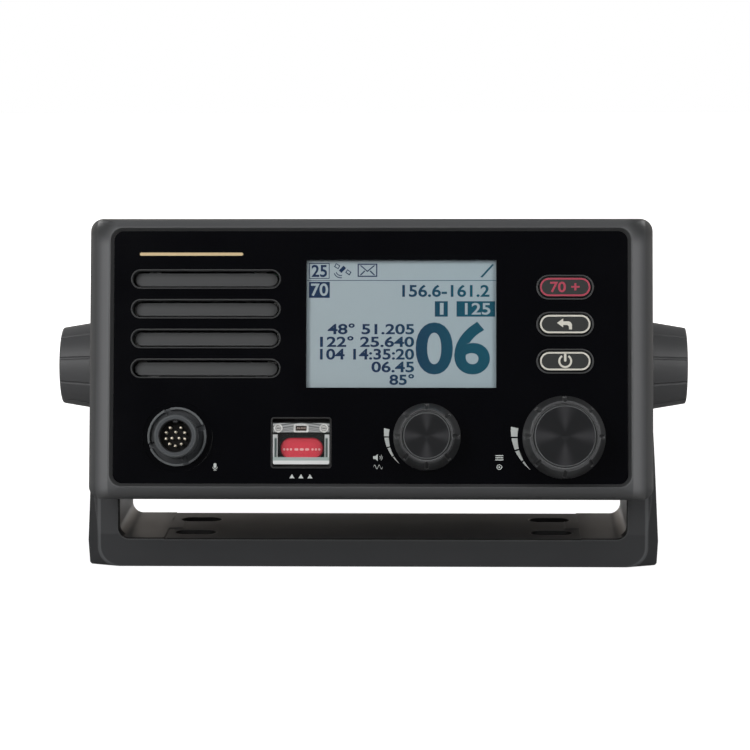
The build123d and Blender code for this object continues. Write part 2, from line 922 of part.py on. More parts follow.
with BuildPart() as distress_well:
    with BuildSketch(head_plane(panel_front)):
        with Locations((distress_x, distress_y)):
            RectangleRounded(well_width, well_height, well_corner)
    extrude(amount=-well_depth)
    with BuildSketch(head_plane(panel_front)):
        with Locations((distress_x, distress_y)):
            RectangleRounded(well_width - 2 * well_wall, well_height - 2 * well_wall, well_corner - well_wall)
    extrude(amount=well_floor - well_depth, mode=Mode.SUBTRACT)
    disc(
        head_plane(well_back, distress_x, distress_key_y),
        distress_stem_radius + slide_gap,
        well_floor,
        Mode.SUBTRACT,
    )
    pin_start = face.from_local_coords((distress_x - well_width / 2, hinge_y, -hinge_depth))
    pin_plane = Plane(pin_start, x_dir=face.y_dir, z_dir=face.x_dir)
    disc(pin_plane, hinge_pin_radius, well_width, Mode.SUBTRACT)
save(distress_well.part, "distress_well")

with BuildPart() as cover_hinge_pin:
    disc(pin_plane, hinge_pin_radius, well_width)
save(cover_hinge_pin.part, "cover_hinge_pin")

spring_start = pin_plane.offset((well_width - spring_length) / 2)
with BuildPart() as cover_spring:
    with BuildSketch(spring_start):
        Circle(spring_radius)
        Circle(hinge_pin_radius, mode=Mode.SUBTRACT)
    extrude(amount=spring_length)
save(cover_spring.part, "cover_spring")

with BuildPart() as distress_cover:
    cover_middle = head_plane(cover_front, distress_x, cover_centre_y)
    with BuildSketch(cover_middle):
        RectangleRounded(cover_width, cover_height, cover_corner)
    extrude(amount=-cover_plate)
    # thick hinge bar along the top, two round bosses on its face
    bar_y = cover_top - cover_bar / 2
    block(head_plane(cover_front, distress_x, bar_y), cover_width, cover_bar, -cover_bar_thickness)
    for side in (-1, 1):
        boss = head_plane(cover_front, distress_x + side * boss_spacing / 2, hinge_y)
        disc(boss, boss_radius, boss_height)
    # rails down both sides, and the lower lip
    rail_height = cover_height - cover_bar
    rail_y = cover_centre_y - cover_bar / 2
    for side in (-1, 1):
        rail_x = distress_x + side * (cover_width - cover_rail) / 2
        block(head_plane(cover_back, rail_x, rail_y), cover_rail, rail_height, -cover_rail_depth)
    lip_y = cover_centre_y - (cover_height - cover_lip) / 2
    block(head_plane(cover_back, distress_x, lip_y), cover_width, cover_lip, -cover_rail_depth)
    # room for the spring, and the bore for the pin
    block(
        head_plane(cover_front, distress_x, hinge_y),
        tab_width,
        tab_height,
        -cover_bar_thickness,
        Mode.SUBTRACT,
    )
    disc(pin_plane, hinge_pin_radius + running_gap, well_width, Mode.SUBTRACT)
save(distress_cover.part, "distress_cover")

stem_end = front_board_depth - distress_switch_height - distress_button_height - distress_travel - fit_gap
key_back_face = key_front + distress_key_thickness
with BuildPart() as distress_button:
    with BuildSketch(head_plane(key_front, distress_x, distress_key_y)):
        SlotOverall(distress_key_width, distress_key_height)
    extrude(amount=-distress_key_thickness)
    chamfer(distress_button.faces().sort_by(front_axis)[-1].edges(), key_edge)
    disc(
        head_plane(key_back_face, distress_x, distress_key_y),
        distress_stem_radius,
        key_back_face - stem_end,
    )
save(distress_button.part, "distress_button")

# ---- knobs, shafts, plungers and encoders -------------------------------------------

knob_foot = panel_front - knob_stand
knob_front = knob_foot - knob_height
bush_front = panel_front - bush_stand
plunger_front = front_board_depth - plunger_thickness - knob_travel - slide_gap
shaft_end = knob_front + knob_height - shaft_seat
knob_sizes = (
    ("volume", volume_x, volume_y, volume_base_radius, volume_front_radius, volume_cap_radius),
    ("menu", menu_x, menu_y, menu_base_radius, menu_front_radius, menu_cap_radius),
)
for name, x, y, base_radius, front_radius, cap_radius in knob_sizes:
    foot = head_plane(knob_foot, x, y)
    seat = cap_radius + cap_groove
    with BuildPart() as knob:
        turned(
            foot,
            (
                (shaft_radius, knob_pocket_depth),
                (knob_pocket_radius, knob_pocket_depth),
                (knob_pocket_radius, 0),
                (base_radius - knob_edge, 0),
                (base_radius, knob_edge),
                (front_radius, knob_height),
                (seat, knob_height),
                (seat, knob_height - cap_thickness),
                (0, knob_height - cap_thickness),
                (0, shaft_seat),
                (shaft_radius, shaft_seat),
            ),
        )
        rims = knob.edges().filter_by(GeomType.CIRCLE)
        fillet([rim for rim in rims if abs(rim.radius - front_radius) < fit_gap], knob_edge)
        cut_grips(
            foot,
            base_radius,
            front_radius,
            knob_height,
            knob_groove_count,
            knob_groove_radius,
            knob_groove_depth,
            lift=knob_groove_lift,
        )
    save(knob.part, f"{name}_knob")

    with BuildPart() as knob_cap:
        turned(
            head_plane(knob_front + cap_thickness, x, y),
            (
                (0, 0),
                (cap_radius, 0),
                (cap_radius, cap_thickness - cap_edge),
                (cap_radius - cap_edge, cap_thickness),
                (0, cap_thickness - cap_dish),
            ),
        )
    save(knob_cap.part, f"{name}_knob_cap")

    with BuildPart() as shaft:
        disc(head_plane(knob_foot - shaft_seat, x, y), shaft_radius, knob_foot - shaft_seat - plunger_front)
    save(shaft.part, f"{name}_shaft")

    with BuildPart() as plunger:
        disc(head_plane(plunger_front, x, y), plunger_radius, -plunger_thickness)
    save(plunger.part, f"{name}_plunger")

    with BuildPart() as encoder:
        block(head_plane(floor_back, x, y), encoder_size, encoder_size, floor_back - front_board_depth)
        disc(head_plane(floor_back, x, y), bush_radius, floor_back - bush_front)
        disc(
            head_plane(bush_front, x, y),
            shaft_radius + running_gap,
            bush_front - front_board_depth,
            Mode.SUBTRACT,
        )
        pocket_front = plunger_front - slide_gap
        disc(
            head_plane(pocket_front, x, y),
            plunger_radius + slide_gap,
            pocket_front - front_board_depth,
            Mode.SUBTRACT,
        )
    save(encoder.part, f"{name}_encoder")

with BuildPart() as encoder_nuts:
    with BuildSketch(head_plane(panel_front)):
        with Locations(*encoder_places):
            RegularPolygon(bush_nut_width / 2, hex_sides, major_radius=False)
            Circle(bush_radius, mode=Mode.SUBTRACT)
    extrude(amount=bush_nut_thickness)
save(encoder_nuts.part, "encoder_nuts")

# ---- push keys ----------------------------------------------------------------------

key_top = panel_front - key_proud
key_flange_front = floor_back + slide_gap
key_flange_back = key_flange_front + key_flange_thickness
switch_top = front_board_depth - switch_height - switch_button_height
key_stem_end = switch_top - key_travel - fit_gap
for name, y in zip(("channel_key", "back_key", "power_key"), key_rows):
    with BuildPart() as key:
        with BuildSketch(head_plane(key_top, key_x, y)):
            SlotOverall(key_width, key_height)
        extrude(amount=key_top - key_flange_back)
        chamfer(key.faces().sort_by(front_axis)[-1].edges(), key_edge)
        with BuildSketch(head_plane(key_flange_front, key_x, y)):
            SlotOverall(key_width + 2 * key_flange, key_height + 2 * key_flange)
        extrude(amount=-key_flange_thickness)
        disc(head_plane(key_flange_back, key_x, y), key_stem_radius, key_flange_back - key_stem_end)
    save(key.part, name)

with BuildPart() as key_rims:
    with BuildSketch(head_plane(panel_front - key_rim_proud)):
        with Locations(*[(key_x, y) for y in key_rows]):
            SlotOverall(key_rim_width, key_rim_height)
            SlotOverall(key_width + 2 * slide_gap, key_height + 2 * slide_gap, mode=Mode.SUBTRACT)
    extrude(amount=-(key_rim_proud + panel_thickness))
save(key_rims.part, "key_rims")

with BuildPart() as key_switches:
    for y in key_rows:
        place = head_plane(front_board_depth, key_x, y)
        block(place, switch_size, switch_size, switch_height)
        disc(place, switch_button_radius, switch_height + switch_button_height)
save(key_switches.part, "key_switches")

with BuildPart() as distress_switch:
    place = head_plane(front_board_depth, distress_x, distress_key_y)
    block(place, switch_size, switch_size, distress_switch_height)
    disc(place, switch_button_radius, distress_switch_height + distress_button_height)
save(distress_switch.part, "distress_switch")

# ---- front circuit board ------------------------------------------------------------

board_width = front_board_right - front_board_left
with BuildPart() as front_board:
    with BuildSketch(head_plane(front_board_depth)):
        with Locations(((front_board_right + front_board_left) / 2, 0)):
            Rectangle(board_width, front_board_height)
        with Locations((grille_x, grille_y)):
            Circle(speaker_radius + slide_gap, mode=Mode.SUBTRACT)
    extrude(amount=-board_thickness)
save(front_board.part, "front_board")

front_posts = [(x, front_post_low) for x in front_posts_low]
front_posts += [(x, front_post_high) for x in front_posts_high]
with BuildPart() as front_board_screws:
    with BuildSketch(head_plane(front_board_depth + board_thickness)):
        with Locations(*front_posts):
            Circle(screw_head_radius)
    extrude(amount=-screw_head_height)
save(front_board_screws.part, "front_board_screws")

# ---- die-cast chassis, gasket and case screws ---------------------------------------

with BuildPart() as chassis:
    with BuildSketch(head_plane(flange_front)):
        RectangleRounded(recess_width - 2 * fit_gap, recess_height - 2 * fit_gap, bezel_corner)
    extrude(amount=flange_front - bezel_depth)
    with BuildSketch(head_plane(bezel_depth)):
        RectangleRounded(case_width, case_height, case_corner)
    extrude(amount=-notch_setback)
    # main box, its long corners cut back to reach the screws
    notch_depth = bezel_depth + notch_setback
    with BuildSketch(head_plane(notch_depth)) as section:
        RectangleRounded(case_width, case_height, case_corner)
        with GridLocations(case_width, case_height, 2, 2):
            Rectangle(2 * case_notch, 2 * case_notch, mode=Mode.SUBTRACT)
    extrude(amount=notch_depth - case_back)
    # hollow from the front
    with BuildSketch(head_plane(flange_front)):
        Rectangle(case_width - 2 * case_wall, case_height - 2 * case_wall)
        with GridLocations(case_width, case_height, 2, 2):
            corner_block = 2 * (case_notch + case_wall)
            Rectangle(corner_block, corner_block, mode=Mode.SUBTRACT)
    extrude(amount=flange_front - case_inner_back, mode=Mode.SUBTRACT)
    # bosses for the pivot inserts, inside both sides
    for side in (-1, 1):
        boss = side_plane(case_half - insert_length - insert_wall, side)
        disc(boss, insert_radius + insert_wall, insert_length + insert_wall)
        disc(side_plane(case_half - insert_length, side), insert_radius, insert_length, Mode.SUBTRACT)
    # cooling fins on the rear wall
    fin_middle = (fin_low + fin_high) / 2
    fin_height = fin_high - fin_low
    fin_draft = math.degrees(math.atan((fin_thickness - fin_tip_thickness) / 2 / fin_length))
    with BuildSketch(head_plane(case_back, 0, fin_middle)):
        with GridLocations(fin_pitch, fin_pitch, fin_count, 1):
            Rectangle(fin_thickness, fin_height)
    extrude(amount=-fin_length, taper=fin_draft)
    # screw holes through the corner blocks
    with BuildSketch(head_plane(flange_front)):
        with GridLocations(2 * case_screw_x, 2 * case_screw_y, 2, 2):
            Circle(case_screw_radius)
    extrude(amount=flange_front - notch_depth, mode=Mode.SUBTRACT)
    # pillars for the main board
    post_spacing_x = main_board_width - 2 * main_post_inset
    post_spacing_z = main_board_depth - 2 * main_post_inset
    case_floor = -(case_height / 2 - case_wall)
    board_middle = face.from_local_coords((0, case_floor, -(main_board_front + main_board_depth / 2)))
    pillar_plane = Plane(board_middle, x_dir=face.x_dir, z_dir=face.y_dir)
    pillar_height = case_height / 2 - case_wall - main_board_drop
    with BuildSketch(pillar_plane):
        with GridLocations(post_spacing_x, post_spacing_z, 2, 2):
            Circle(main_post_radius)
    extrude(amount=pillar_height)
save(chassis.part, "chassis")

with BuildPart() as case_gasket:
    with BuildSketch(head_plane(seat_depth)):
        RectangleRounded(recess_width - 2 * fit_gap, recess_height - 2 * fit_gap, bezel_corner)
        RectangleRounded(cavity_width, cavity_height, bezel_corner, mode=Mode.SUBTRACT)
    extrude(amount=-gasket_thickness)
save(case_gasket.part, "case_gasket")

with BuildPart() as case_screws:
    with BuildSketch(head_plane(notch_depth)):
        with GridLocations(2 * case_screw_x, 2 * case_screw_y, 2, 2):
            Circle(case_screw_head)
    extrude(amount=-case_screw_head_height)
    with BuildSketch(head_plane(notch_depth)):
        with GridLocations(2 * case_screw_x, 2 * case_screw_y, 2, 2):
            Circle(case_screw_radius)
    extrude(amount=case_screw_length)
save(case_screws.part, "case_screws")

# ---- main circuit board and shield ---------------------------------------------------

board_plane = pillar_plane.offset(pillar_height)
with BuildPart() as main_board:
    block(board_plane, main_board_width, main_board_depth, board_thickness)
save(main_board.part, "main_board")

with BuildPart() as main_board_screws:
    with BuildSketch(board_plane.offset(board_thickness)):
        with GridLocations(post_spacing_x, post_spacing_z, 2, 2):
            Circle(screw_head_radius)
    extrude(amount=screw_head_height)
save(main_board_screws.part, "main_board_screws")

shield_centre = board_plane.from_local_coords((shield_x, 0, board_thickness))
shield_plane = Plane(shield_centre, x_dir=board_plane.x_dir, z_dir=board_plane.z_dir)
with BuildPart() as rf_shield:
    block(shield_plane, shield_width, shield_depth, shield_height)
    block(
        shield_plane,
        shield_width - 2 * shield_wall,
        shield_depth - 2 * shield_wall,
        shield_height - shield_wall,
        Mode.SUBTRACT,
    )
save(rf_shield.part, "rf_shield")

# ---- rear connectors -----------------------------------------------------------------


def rear_plane(x, height=0.0):
    """Plane on the rear wall, facing backwards, a height off the wall."""
    origin = face.from_local_coords((x, connector_y, -(case_back + height)))
    return Plane(origin, x_dir=-face.x_dir, z_dir=-face.z_dir)


with BuildPart() as antenna_socket:
    block(rear_plane(antenna_x), antenna_flange, antenna_flange, antenna_flange_thickness)
    disc(rear_plane(antenna_x), antenna_radius, antenna_flange_thickness + antenna_length)
    bore_floor = antenna_flange_thickness + antenna_length - antenna_bore_depth
    disc(rear_plane(antenna_x, bore_floor), antenna_bore_radius, antenna_bore_depth, Mode.SUBTRACT)
    disc(rear_plane(antenna_x), antenna_insulator_radius, bore_floor, Mode.SUBTRACT)
save(antenna_socket.part, "antenna_socket")

with BuildPart() as antenna_insulator:
    insulator_end = bore_floor + antenna_insulator_length
    disc(rear_plane(antenna_x), antenna_insulator_radius, insulator_end)
    disc(rear_plane(antenna_x), antenna_contact_radius, insulator_end, Mode.SUBTRACT)
save(antenna_insulator.part, "antenna_insulator")

with BuildPart() as antenna_contact:
    disc(rear_plane(antenna_x), antenna_contact_radius, insulator_end)
    disc(
        rear_plane(antenna_x, antenna_flange_thickness),
        antenna_contact_bore,
        insulator_end - antenna_flange_thickness,
        Mode.SUBTRACT,
    )
save(antenna_contact.part, "antenna_contact")

with BuildPart() as antenna_screws:
    with BuildSketch(rear_plane(antenna_x, antenna_flange_thickness)):
        with GridLocations(antenna_screw_pitch, antenna_screw_pitch, 2, 2):
            Circle(screw_head_radius)
    extrude(amount=screw_head_height)
save(antenna_screws.part, "antenna_screws")

with BuildPart() as gps_socket:
    disc(rear_plane(gps_x), gps_flange_radius, gps_flange_thickness)
    disc(rear_plane(gps_x), gps_radius, gps_length)
    lug_height = gps_length - gps_lug_setback
    lug_origin = rear_plane(gps_x, lug_height).origin
    lug_plane = Plane(lug_origin, x_dir=face.z_dir, z_dir=face.x_dir)
    lug_reach = gps_radius + gps_lug_height
    disc(lug_plane.offset(-lug_reach), gps_lug_radius, 2 * lug_reach)
    gps_floor = gps_length - gps_bore_depth
    disc(rear_plane(gps_x, gps_floor), gps_bore_radius, gps_bore_depth, Mode.SUBTRACT)
    disc(rear_plane(gps_x, gps_floor), gps_insulator_radius, gps_insulator_length)
    disc(
        rear_plane(gps_x, gps_floor),
        gps_contact_radius,
        gps_insulator_length,
        Mode.SUBTRACT,
    )
save(gps_socket.part, "gps_socket")

with BuildPart() as network_socket:
    disc(rear_plane(network_x), network_flange, network_flange_thickness)
    disc(rear_plane(network_x), network_radius, network_length)
    network_floor = network_length - network_bore_depth
    disc(
        rear_plane(network_x, network_floor),
        network_bore_radius,
        network_bore_depth,
        Mode.SUBTRACT,
    )
save(network_socket.part, "network_socket")

with BuildPart() as network_pins:
    with BuildSketch(rear_plane(network_x, network_floor)):
        with PolarLocations(network_pin_circle, network_pin_count, start_angle=network_pin_start):
            Circle(network_pin_radius)
    extrude(amount=network_pin_length)
save(network_pins.part, "network_pins")

with BuildPart() as power_gland:
    with BuildSketch(rear_plane(gland_x)):
        RegularPolygon(gland_hex_width / 2, hex_sides, major_radius=False)
    extrude(amount=gland_hex_length)
    turned(
        rear_plane(gland_x, gland_hex_length),
        (
            (0, 0),
            (gland_nut_radius, 0),
            (gland_nut_radius, gland_length - gland_hex_length - gland_nose_length),
            (gland_nose_radius, gland_length - gland_hex_length),
            (0, gland_length - gland_hex_length),
        ),
    )
    disc(
        rear_plane(gland_x, gland_length - gland_bore_depth),
        gland_bore_radius,
        gland_bore_depth,
        Mode.SUBTRACT,
    )
save(power_gland.part, "power_gland")

with BuildPart() as ground_screw:
    disc(rear_plane(ground_x), ground_washer_radius, ground_washer_thickness)
    disc(rear_plane(ground_x), ground_head_radius, ground_washer_thickness + ground_head_height)
save(ground_screw.part, "ground_screw")
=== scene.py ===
import bpy
import math
from mathutils import Matrix, Vector


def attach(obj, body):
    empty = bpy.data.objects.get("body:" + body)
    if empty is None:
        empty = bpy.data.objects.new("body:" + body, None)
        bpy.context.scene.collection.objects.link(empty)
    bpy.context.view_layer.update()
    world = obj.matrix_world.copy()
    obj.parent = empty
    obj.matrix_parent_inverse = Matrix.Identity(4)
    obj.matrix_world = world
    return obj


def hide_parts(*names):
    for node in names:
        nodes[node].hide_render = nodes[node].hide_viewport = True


# A fixed-mount marine radio: a tilting head between the arms of a gimbal bracket.
# Metres, +Z up, +X to the user's right, -Y towards the user.

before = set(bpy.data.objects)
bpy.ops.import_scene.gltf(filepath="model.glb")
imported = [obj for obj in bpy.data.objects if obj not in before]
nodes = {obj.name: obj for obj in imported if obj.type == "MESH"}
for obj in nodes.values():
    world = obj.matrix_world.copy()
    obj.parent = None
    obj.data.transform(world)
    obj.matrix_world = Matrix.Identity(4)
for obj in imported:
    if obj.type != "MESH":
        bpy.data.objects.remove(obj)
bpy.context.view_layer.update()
view = bpy.context.scene.view_settings
view.view_transform = "Standard"
bpy.ops.object.select_all(action="DESELECT")


# ---- camera ------------------------------------------------------------------------
# A long lens at eye height of someone who sits at the chart table, a little to the
# right of the radio's middle.

bpy.ops.object.camera_add(location=(0.03078, -1.1011, 0.22338))
camera = bpy.context.object
turn = Matrix.Rotation(math.radians(1.578), 3, "Z")
nod = Matrix.Rotation(math.radians(-8.084), 3, "X")
roll = Matrix.Rotation(math.radians(0.165), 3, "Y")
level = Matrix.Rotation(math.radians(90.0), 3, "X")
camera.rotation_euler = (turn @ nod @ roll @ level).to_euler()
camera.data.lens = 144.24
camera.data.sensor_width = 36.0
camera.data.clip_end = 20.0
bpy.context.scene.camera = camera


# ---- floor, sky and lamps ----------------------------------------------------------
# A white sweep under and behind the radio, two tall soft lamps beside it, a soft lamp
# above its front, two behind it at the sides, and two faint warm ones low behind it,
# which light the inside of the bracket.


class Value:
    """One number or colour inside a finish, as it changes over the surface."""

    def __init__(self, finish, socket):
        self.finish = finish
        self.socket = socket

    def maths(self, operation, *others):
        inputs = dict(enumerate((self,) + others))
        return self.finish.node("ShaderNodeMath", {"operation": operation}, inputs)

    def __add__(self, other):
        return self.maths("ADD", other)

    def __mul__(self, other):
        return self.maths("MULTIPLY", other)

    def __sub__(self, other):
        return self.maths("SUBTRACT", other)

    def __truediv__(self, other):
        return self.maths("DIVIDE", other)

    def __rsub__(self, other):
        return self * -1.0 + other

    def __neg__(self):
        return self * -1.0

    def __abs__(self):
        return self.maths("ABSOLUTE")

    __radd__ = __add__
    __rmul__ = __mul__

    def held(self, low, high):
        """The value, held between two bounds."""
        return self.maths("MINIMUM", high).maths("MAXIMUM", low)

    def rises(self, low, high):
        """0 where the value is under low, 1 over high, and a smooth change between them."""
        settings = {"interpolation_type": "SMOOTHSTEP"}
        inputs = {"Value": self, "From Min": low, "From Max": high}
        return self.finish.node("ShaderNodeMapRange", settings, inputs)

    def falls(self, low, high):
        """1 where the value is under low, 0 over high, and a smooth change between them."""
        return 1.0 - self.rises(low, high)


class Nodes:
    """The node tree of a material or of the sky, to which nodes are added one at a time."""

    def __init__(self, tree):
        self.tree = tree

    def feed(self, socket, value):
        """Link a value to a socket, or set the socket to a number or a colour."""
        if isinstance(value, Value):
            self.tree.links.new(value.socket, socket)
        elif socket.type == "RGBA" and len(value) == 3:
            socket.default_value = (*value, 1.0)
        else:
            socket.default_value = value

    def node(self, kind, settings=None, inputs=None, output=0):
        """Add a node: first its settings, then the values or links of its sockets."""
        made = self.tree.nodes.new(kind)
        for name, value in (settings or {}).items():
            if name == "stops":
                ramp = made.color_ramp.elements
                while len(ramp) < len(value):
                    ramp.new(0.5)
                for stop, (place, colour) in zip(ramp, value):
                    stop.position = place
                    stop.color = (*colour, 1.0)
            else:
                setattr(made, name, value)
        for socket, value in (inputs or {}).items():
            self.feed(made.inputs[socket], value)
        return Value(self, made.outputs[output])

    def mixed(self, share, first, second):
        """A colour between two colours."""
        inputs = {"Factor": share, "A": first, "B": second}
        return self.node("ShaderNodeMix", {"data_type": "RGBA"}, inputs, "Result")

    def axis(self, vector, name):
        """One of the three parts of a vector."""
        return self.node("ShaderNodeSeparateXYZ", inputs={"Vector": vector}, output=name)

    def noise(self, place, scale, detail):
        """Soft random patches, about 1 / scale across."""
        inputs = {"Vector": place, "Scale": scale, "Detail": detail}
        return self.node("ShaderNodeTexNoise", inputs=inputs)


class Finish(Nodes):
    """A material, which put_on gives to pieces."""

    def __init__(self, name, constants=None):
        self.material = bpy.data.materials.new(name)
        self.material.use_nodes = True
        super().__init__(self.material.node_tree)
        self.surface = self.tree.nodes["Principled BSDF"]
        self.set(constants or {})

    def set(self, values):
        for socket, value in values.items():
            self.feed(self.surface.inputs[socket], value)

    def place(self):
        """Where a point of the surface lies, in metres from the middle of the bracket's foot."""
        return self.node("ShaderNodeTexCoord", output="Object")

    def now(self, socket):
        """What feeds a socket of the surface so far."""
        return Value(self, self.surface.inputs[socket].links[0].from_socket)

    def tint(self, mask, colour):
        """Change the colour of the surface where a mask is 1."""
        self.set({"Base Color": self.mixed(mask, self.now("Base Color"), colour)})

    def put_on(self, *pieces):
        for piece in pieces:
            piece.data.materials.clear()
            piece.data.materials.append(self.material)


bpy.ops.mesh.primitive_plane_add(size=6.0, location=(0, 0, -0.0002))
floor = bpy.context.object
floor.name = "studio_floor"
sweep = Finish("studio_white", {"Base Color": (0.5, 0.5, 0.5), "Roughness": 0.9})
place = sweep.place()

# white to the camera, and a little less near the radio, where its shadow lies
seen = sweep.node("ShaderNodeLightPath", output="Is Camera Ray")
distance = sweep.node("ShaderNodeVectorMath", {"operation": "LENGTH"}, {0: place}, "Value")
shine = seen * ((distance - 0.25).held(0.0, 0.4) + 0.85)

# a bright patch behind the bracket, which the gloss of its base mirrors
mirrored = sweep.node("ShaderNodeLightPath", output="Is Glossy Ray")
patch = (1.0 - abs(sweep.axis(place, "Y") - 0.23) * 8.0).maths("MAXIMUM", 0.0)
patch = patch * (1.0 - (abs(sweep.axis(place, "X")) - 0.09) * 20.0).held(0.0, 1.0)
sweep.set({"Emission Color": shine + mirrored * patch * 3.0, "Emission Strength": 1.0})
sweep.put_on(floor)

world = bpy.data.worlds.new("studio")
bpy.context.scene.world = world
world.use_nodes = True
sky = Nodes(world.node_tree)
direction = sky.node("ShaderNodeTexCoord", output="Generated")
back = sky.axis(direction, "Y")
rise = sky.axis(direction, "Z")
aside = abs(sky.axis(direction, "X"))

# dim all round, brighter behind, and white where the camera looks past the radio
behind = (back * 2.5 + 0.75).held(0.0, 1.0)
seen = sky.node("ShaderNodeLightPath", output="Is Camera Ray")

# a warm band low behind the radio, seen only in its glossy faces, faint in the middle
band = ((back - 0.5) * 4.0).held(0.0, 1.0)
band = band * (1.0 - (rise - 0.18) * 8.0).held(0.0, 1.0)
band = band * ((aside - 0.02) * 30.0).held(0.35, 2.2)
shown = band * sky.node("ShaderNodeLightPath", output="Is Glossy Ray")
strength = (behind * 0.1 + 0.07).maths("MAXIMUM", shown).maths("MAXIMUM", seen)
background = world.node_tree.nodes["Background"]
sky.feed(background.inputs["Color"], sky.mixed(shown, (1.0, 1.0, 1.0), (1.0, 0.92, 0.84)))
sky.feed(background.inputs["Strength"], strength)


def soft_lamp(name, place, aim, width, height, watts, colour=(1.0, 1.0, 1.0)):
    """A rectangular diffuser in front of a lamp, turned to face a point."""
    bpy.ops.object.light_add(type="AREA", location=place)
    lamp = bpy.context.object
    lamp.name = name
    lamp.data.shape = "RECTANGLE"
    lamp.data.size = width
    lamp.data.size_y = height
    lamp.data.energy = watts
    lamp.data.color = colour
    away = Vector(aim) - Vector(place)
    lamp.rotation_euler = away.to_track_quat("-Z", "Y").to_euler()


soft_lamp("lamp_left", (-0.62, -1.05, 0.66), (0, 0, 0.07), 0.5, 0.8, 9.0)
soft_lamp("lamp_right", (0.66, -1.02, 0.66), (0, 0, 0.07), 0.5, 0.8, 6.4)
soft_lamp("lamp_top", (0.0, -0.7, 0.9), (0, 0, 0.07), 1.2, 0.35, 0.5)
soft_lamp("lamp_back_high_left", (-0.78, 0.8, 0.62), (0, 0.05, 0.07), 0.5, 0.5, 3.2)
soft_lamp("lamp_back_high_right", (0.78, 0.8, 0.62), (0, 0.05, 0.07), 0.5, 0.5, 3.0)
soft_lamp("lamp_back_left", (-0.6, 0.8, 0.24), (0, 0, 0.03), 0.4, 0.3, 0.6, (1.0, 0.84, 0.72))
soft_lamp("lamp_back_right", (0.6, 0.8, 0.24), (0, 0, 0.03), 0.4, 0.3, 0.8, (1.0, 0.84, 0.72))


# ---- head: the frame its face stands in --------------------------------------------
# The head hangs nose-up between the arms. Pieces of its face are drawn flat, x to the
# right, y up and z out of the face from the bezel's front ridge, and then moved there.

HEAD_TILT = math.radians(11.5)
PIVOT_HEIGHT = 0.0705
PIVOT_DEPTH = 0.048
face_out = Vector((0.0, -math.cos(HEAD_TILT), math.sin(HEAD_TILT)))
face_up = Vector((0.0, math.sin(HEAD_TILT), math.cos(HEAD_TILT)))
face_origin = Vector((0.0, 0.0, PIVOT_HEIGHT)) + face_out * PIVOT_DEPTH
face_matrix = Matrix.Identity(4)
face_matrix.col[1] = (*face_up, 0.0)
face_matrix.col[2] = (*face_out, 0.0)
face_matrix.col[3] = (*face_origin, 1.0)
MM = 0.001


# ---- front bezel -------------------------------------------------------------------
# The grey housing that the user sees: an injection moulding in a tough plastic, with a
# fine satin texture from the tool, and a painted highlight along the ridge at each side.


def moulded(name, colour, roughness, grain_size=0.00035, grain=0.05, edge=0.0004, patches=0.06, wear_and_edge_highlight=0.0):
    """A moulded plastic: a fine tooled grain, faint cloudy tone, and softened edges, which can be painted
    paler, as wear and as a painted highlight.
    """
    finish = Finish(name, {"IOR": 1.5})
    place = finish.place()
    tooled = finish.noise(place, 1.0 / grain_size, 2.0)
    cloud = finish.noise(place, 45.0, 3.0)
    dark = tuple(channel * (1.0 - patches) for channel in colour)
    light = tuple(channel * (1.0 + patches) for channel in colour)
    tone = finish.mixed(cloud, dark, light)
    rounded = finish.node("ShaderNodeBevel", {"samples": 4}, {"Radius": edge})
    # edges painted paler: partly wear, partly a painted highlight where rounded edges catch the light
    if wear_and_edge_highlight > 0.0:
        flat = finish.node("ShaderNodeNewGeometry", output="Normal")
        along = finish.node(
            "ShaderNodeVectorMath", {"operation": "DOT_PRODUCT"}, {0: rounded, 1: flat}, "Value"
        )
        at_edge = ((1.0 - along) * 6.0).maths("MINIMUM", 1.0)
        tone = finish.mixed(at_edge, tone, tuple(channel + wear_and_edge_highlight for channel in colour))
    bumped = finish.node(
        "ShaderNodeBump",
        inputs={"Strength": grain, "Distance": 0.0002, "Height": tooled, "Normal": rounded},
    )
    finish.set({"Base Color": tone, "Roughness": cloud * 0.12 + (roughness - 0.06), "Normal": bumped})
    return finish


def face_place(finish, x, y):
    """Where a point of the surface lies on the head's face, in millimetres from (x, y)."""
    origin = face_matrix @ Vector((x * MM, y * MM, 0.0))
    local = finish.node(
        "ShaderNodeMapping",
        {"vector_type": "TEXTURE"},
        {
            "Vector": finish.place(),
            "Location": origin,
            "Rotation": (math.pi / 2 - HEAD_TILT, 0.0, 0.0),
            "Scale": (MM, MM, MM),
        },
    )
    return [finish.axis(local, name) for name in "XYZ"]


def radius_of(across, up):
    """How far a point lies from (0, 0), by its places across and up."""
    return (across * across + up * up).maths("SQRT")


bezel_plastic = moulded("bezel_plastic", (0.085, 0.087, 0.09), 0.42)
across, up, out = face_place(bezel_plastic, 0.0, 0.0)
from_middle = abs(across)

# a painted highlight on the ridge at each side, and painted shade on the corners at the top
painted_ridge_highlight = from_middle.rises(92.7, 93.3) * from_middle.falls(94.8, 97.8) * up.falls(39.0, 45.0)
bezel_plastic.tint(painted_ridge_highlight, (0.15, 0.152, 0.156))
bezel_plastic.tint(up.rises(40.0, 46.0) * from_middle.rises(90.0, 94.0) * 0.8, (0.035, 0.036, 0.037))

# the outer walls are rougher, and painted darker, as shade
side_wall = from_middle.rises(96.6, 98.2)
bezel_plastic.tint(side_wall * 0.5, (0.05, 0.051, 0.052))
bezel_plastic.set({"Roughness": bezel_plastic.now("Roughness").maths("MAXIMUM", side_wall * 0.8)})
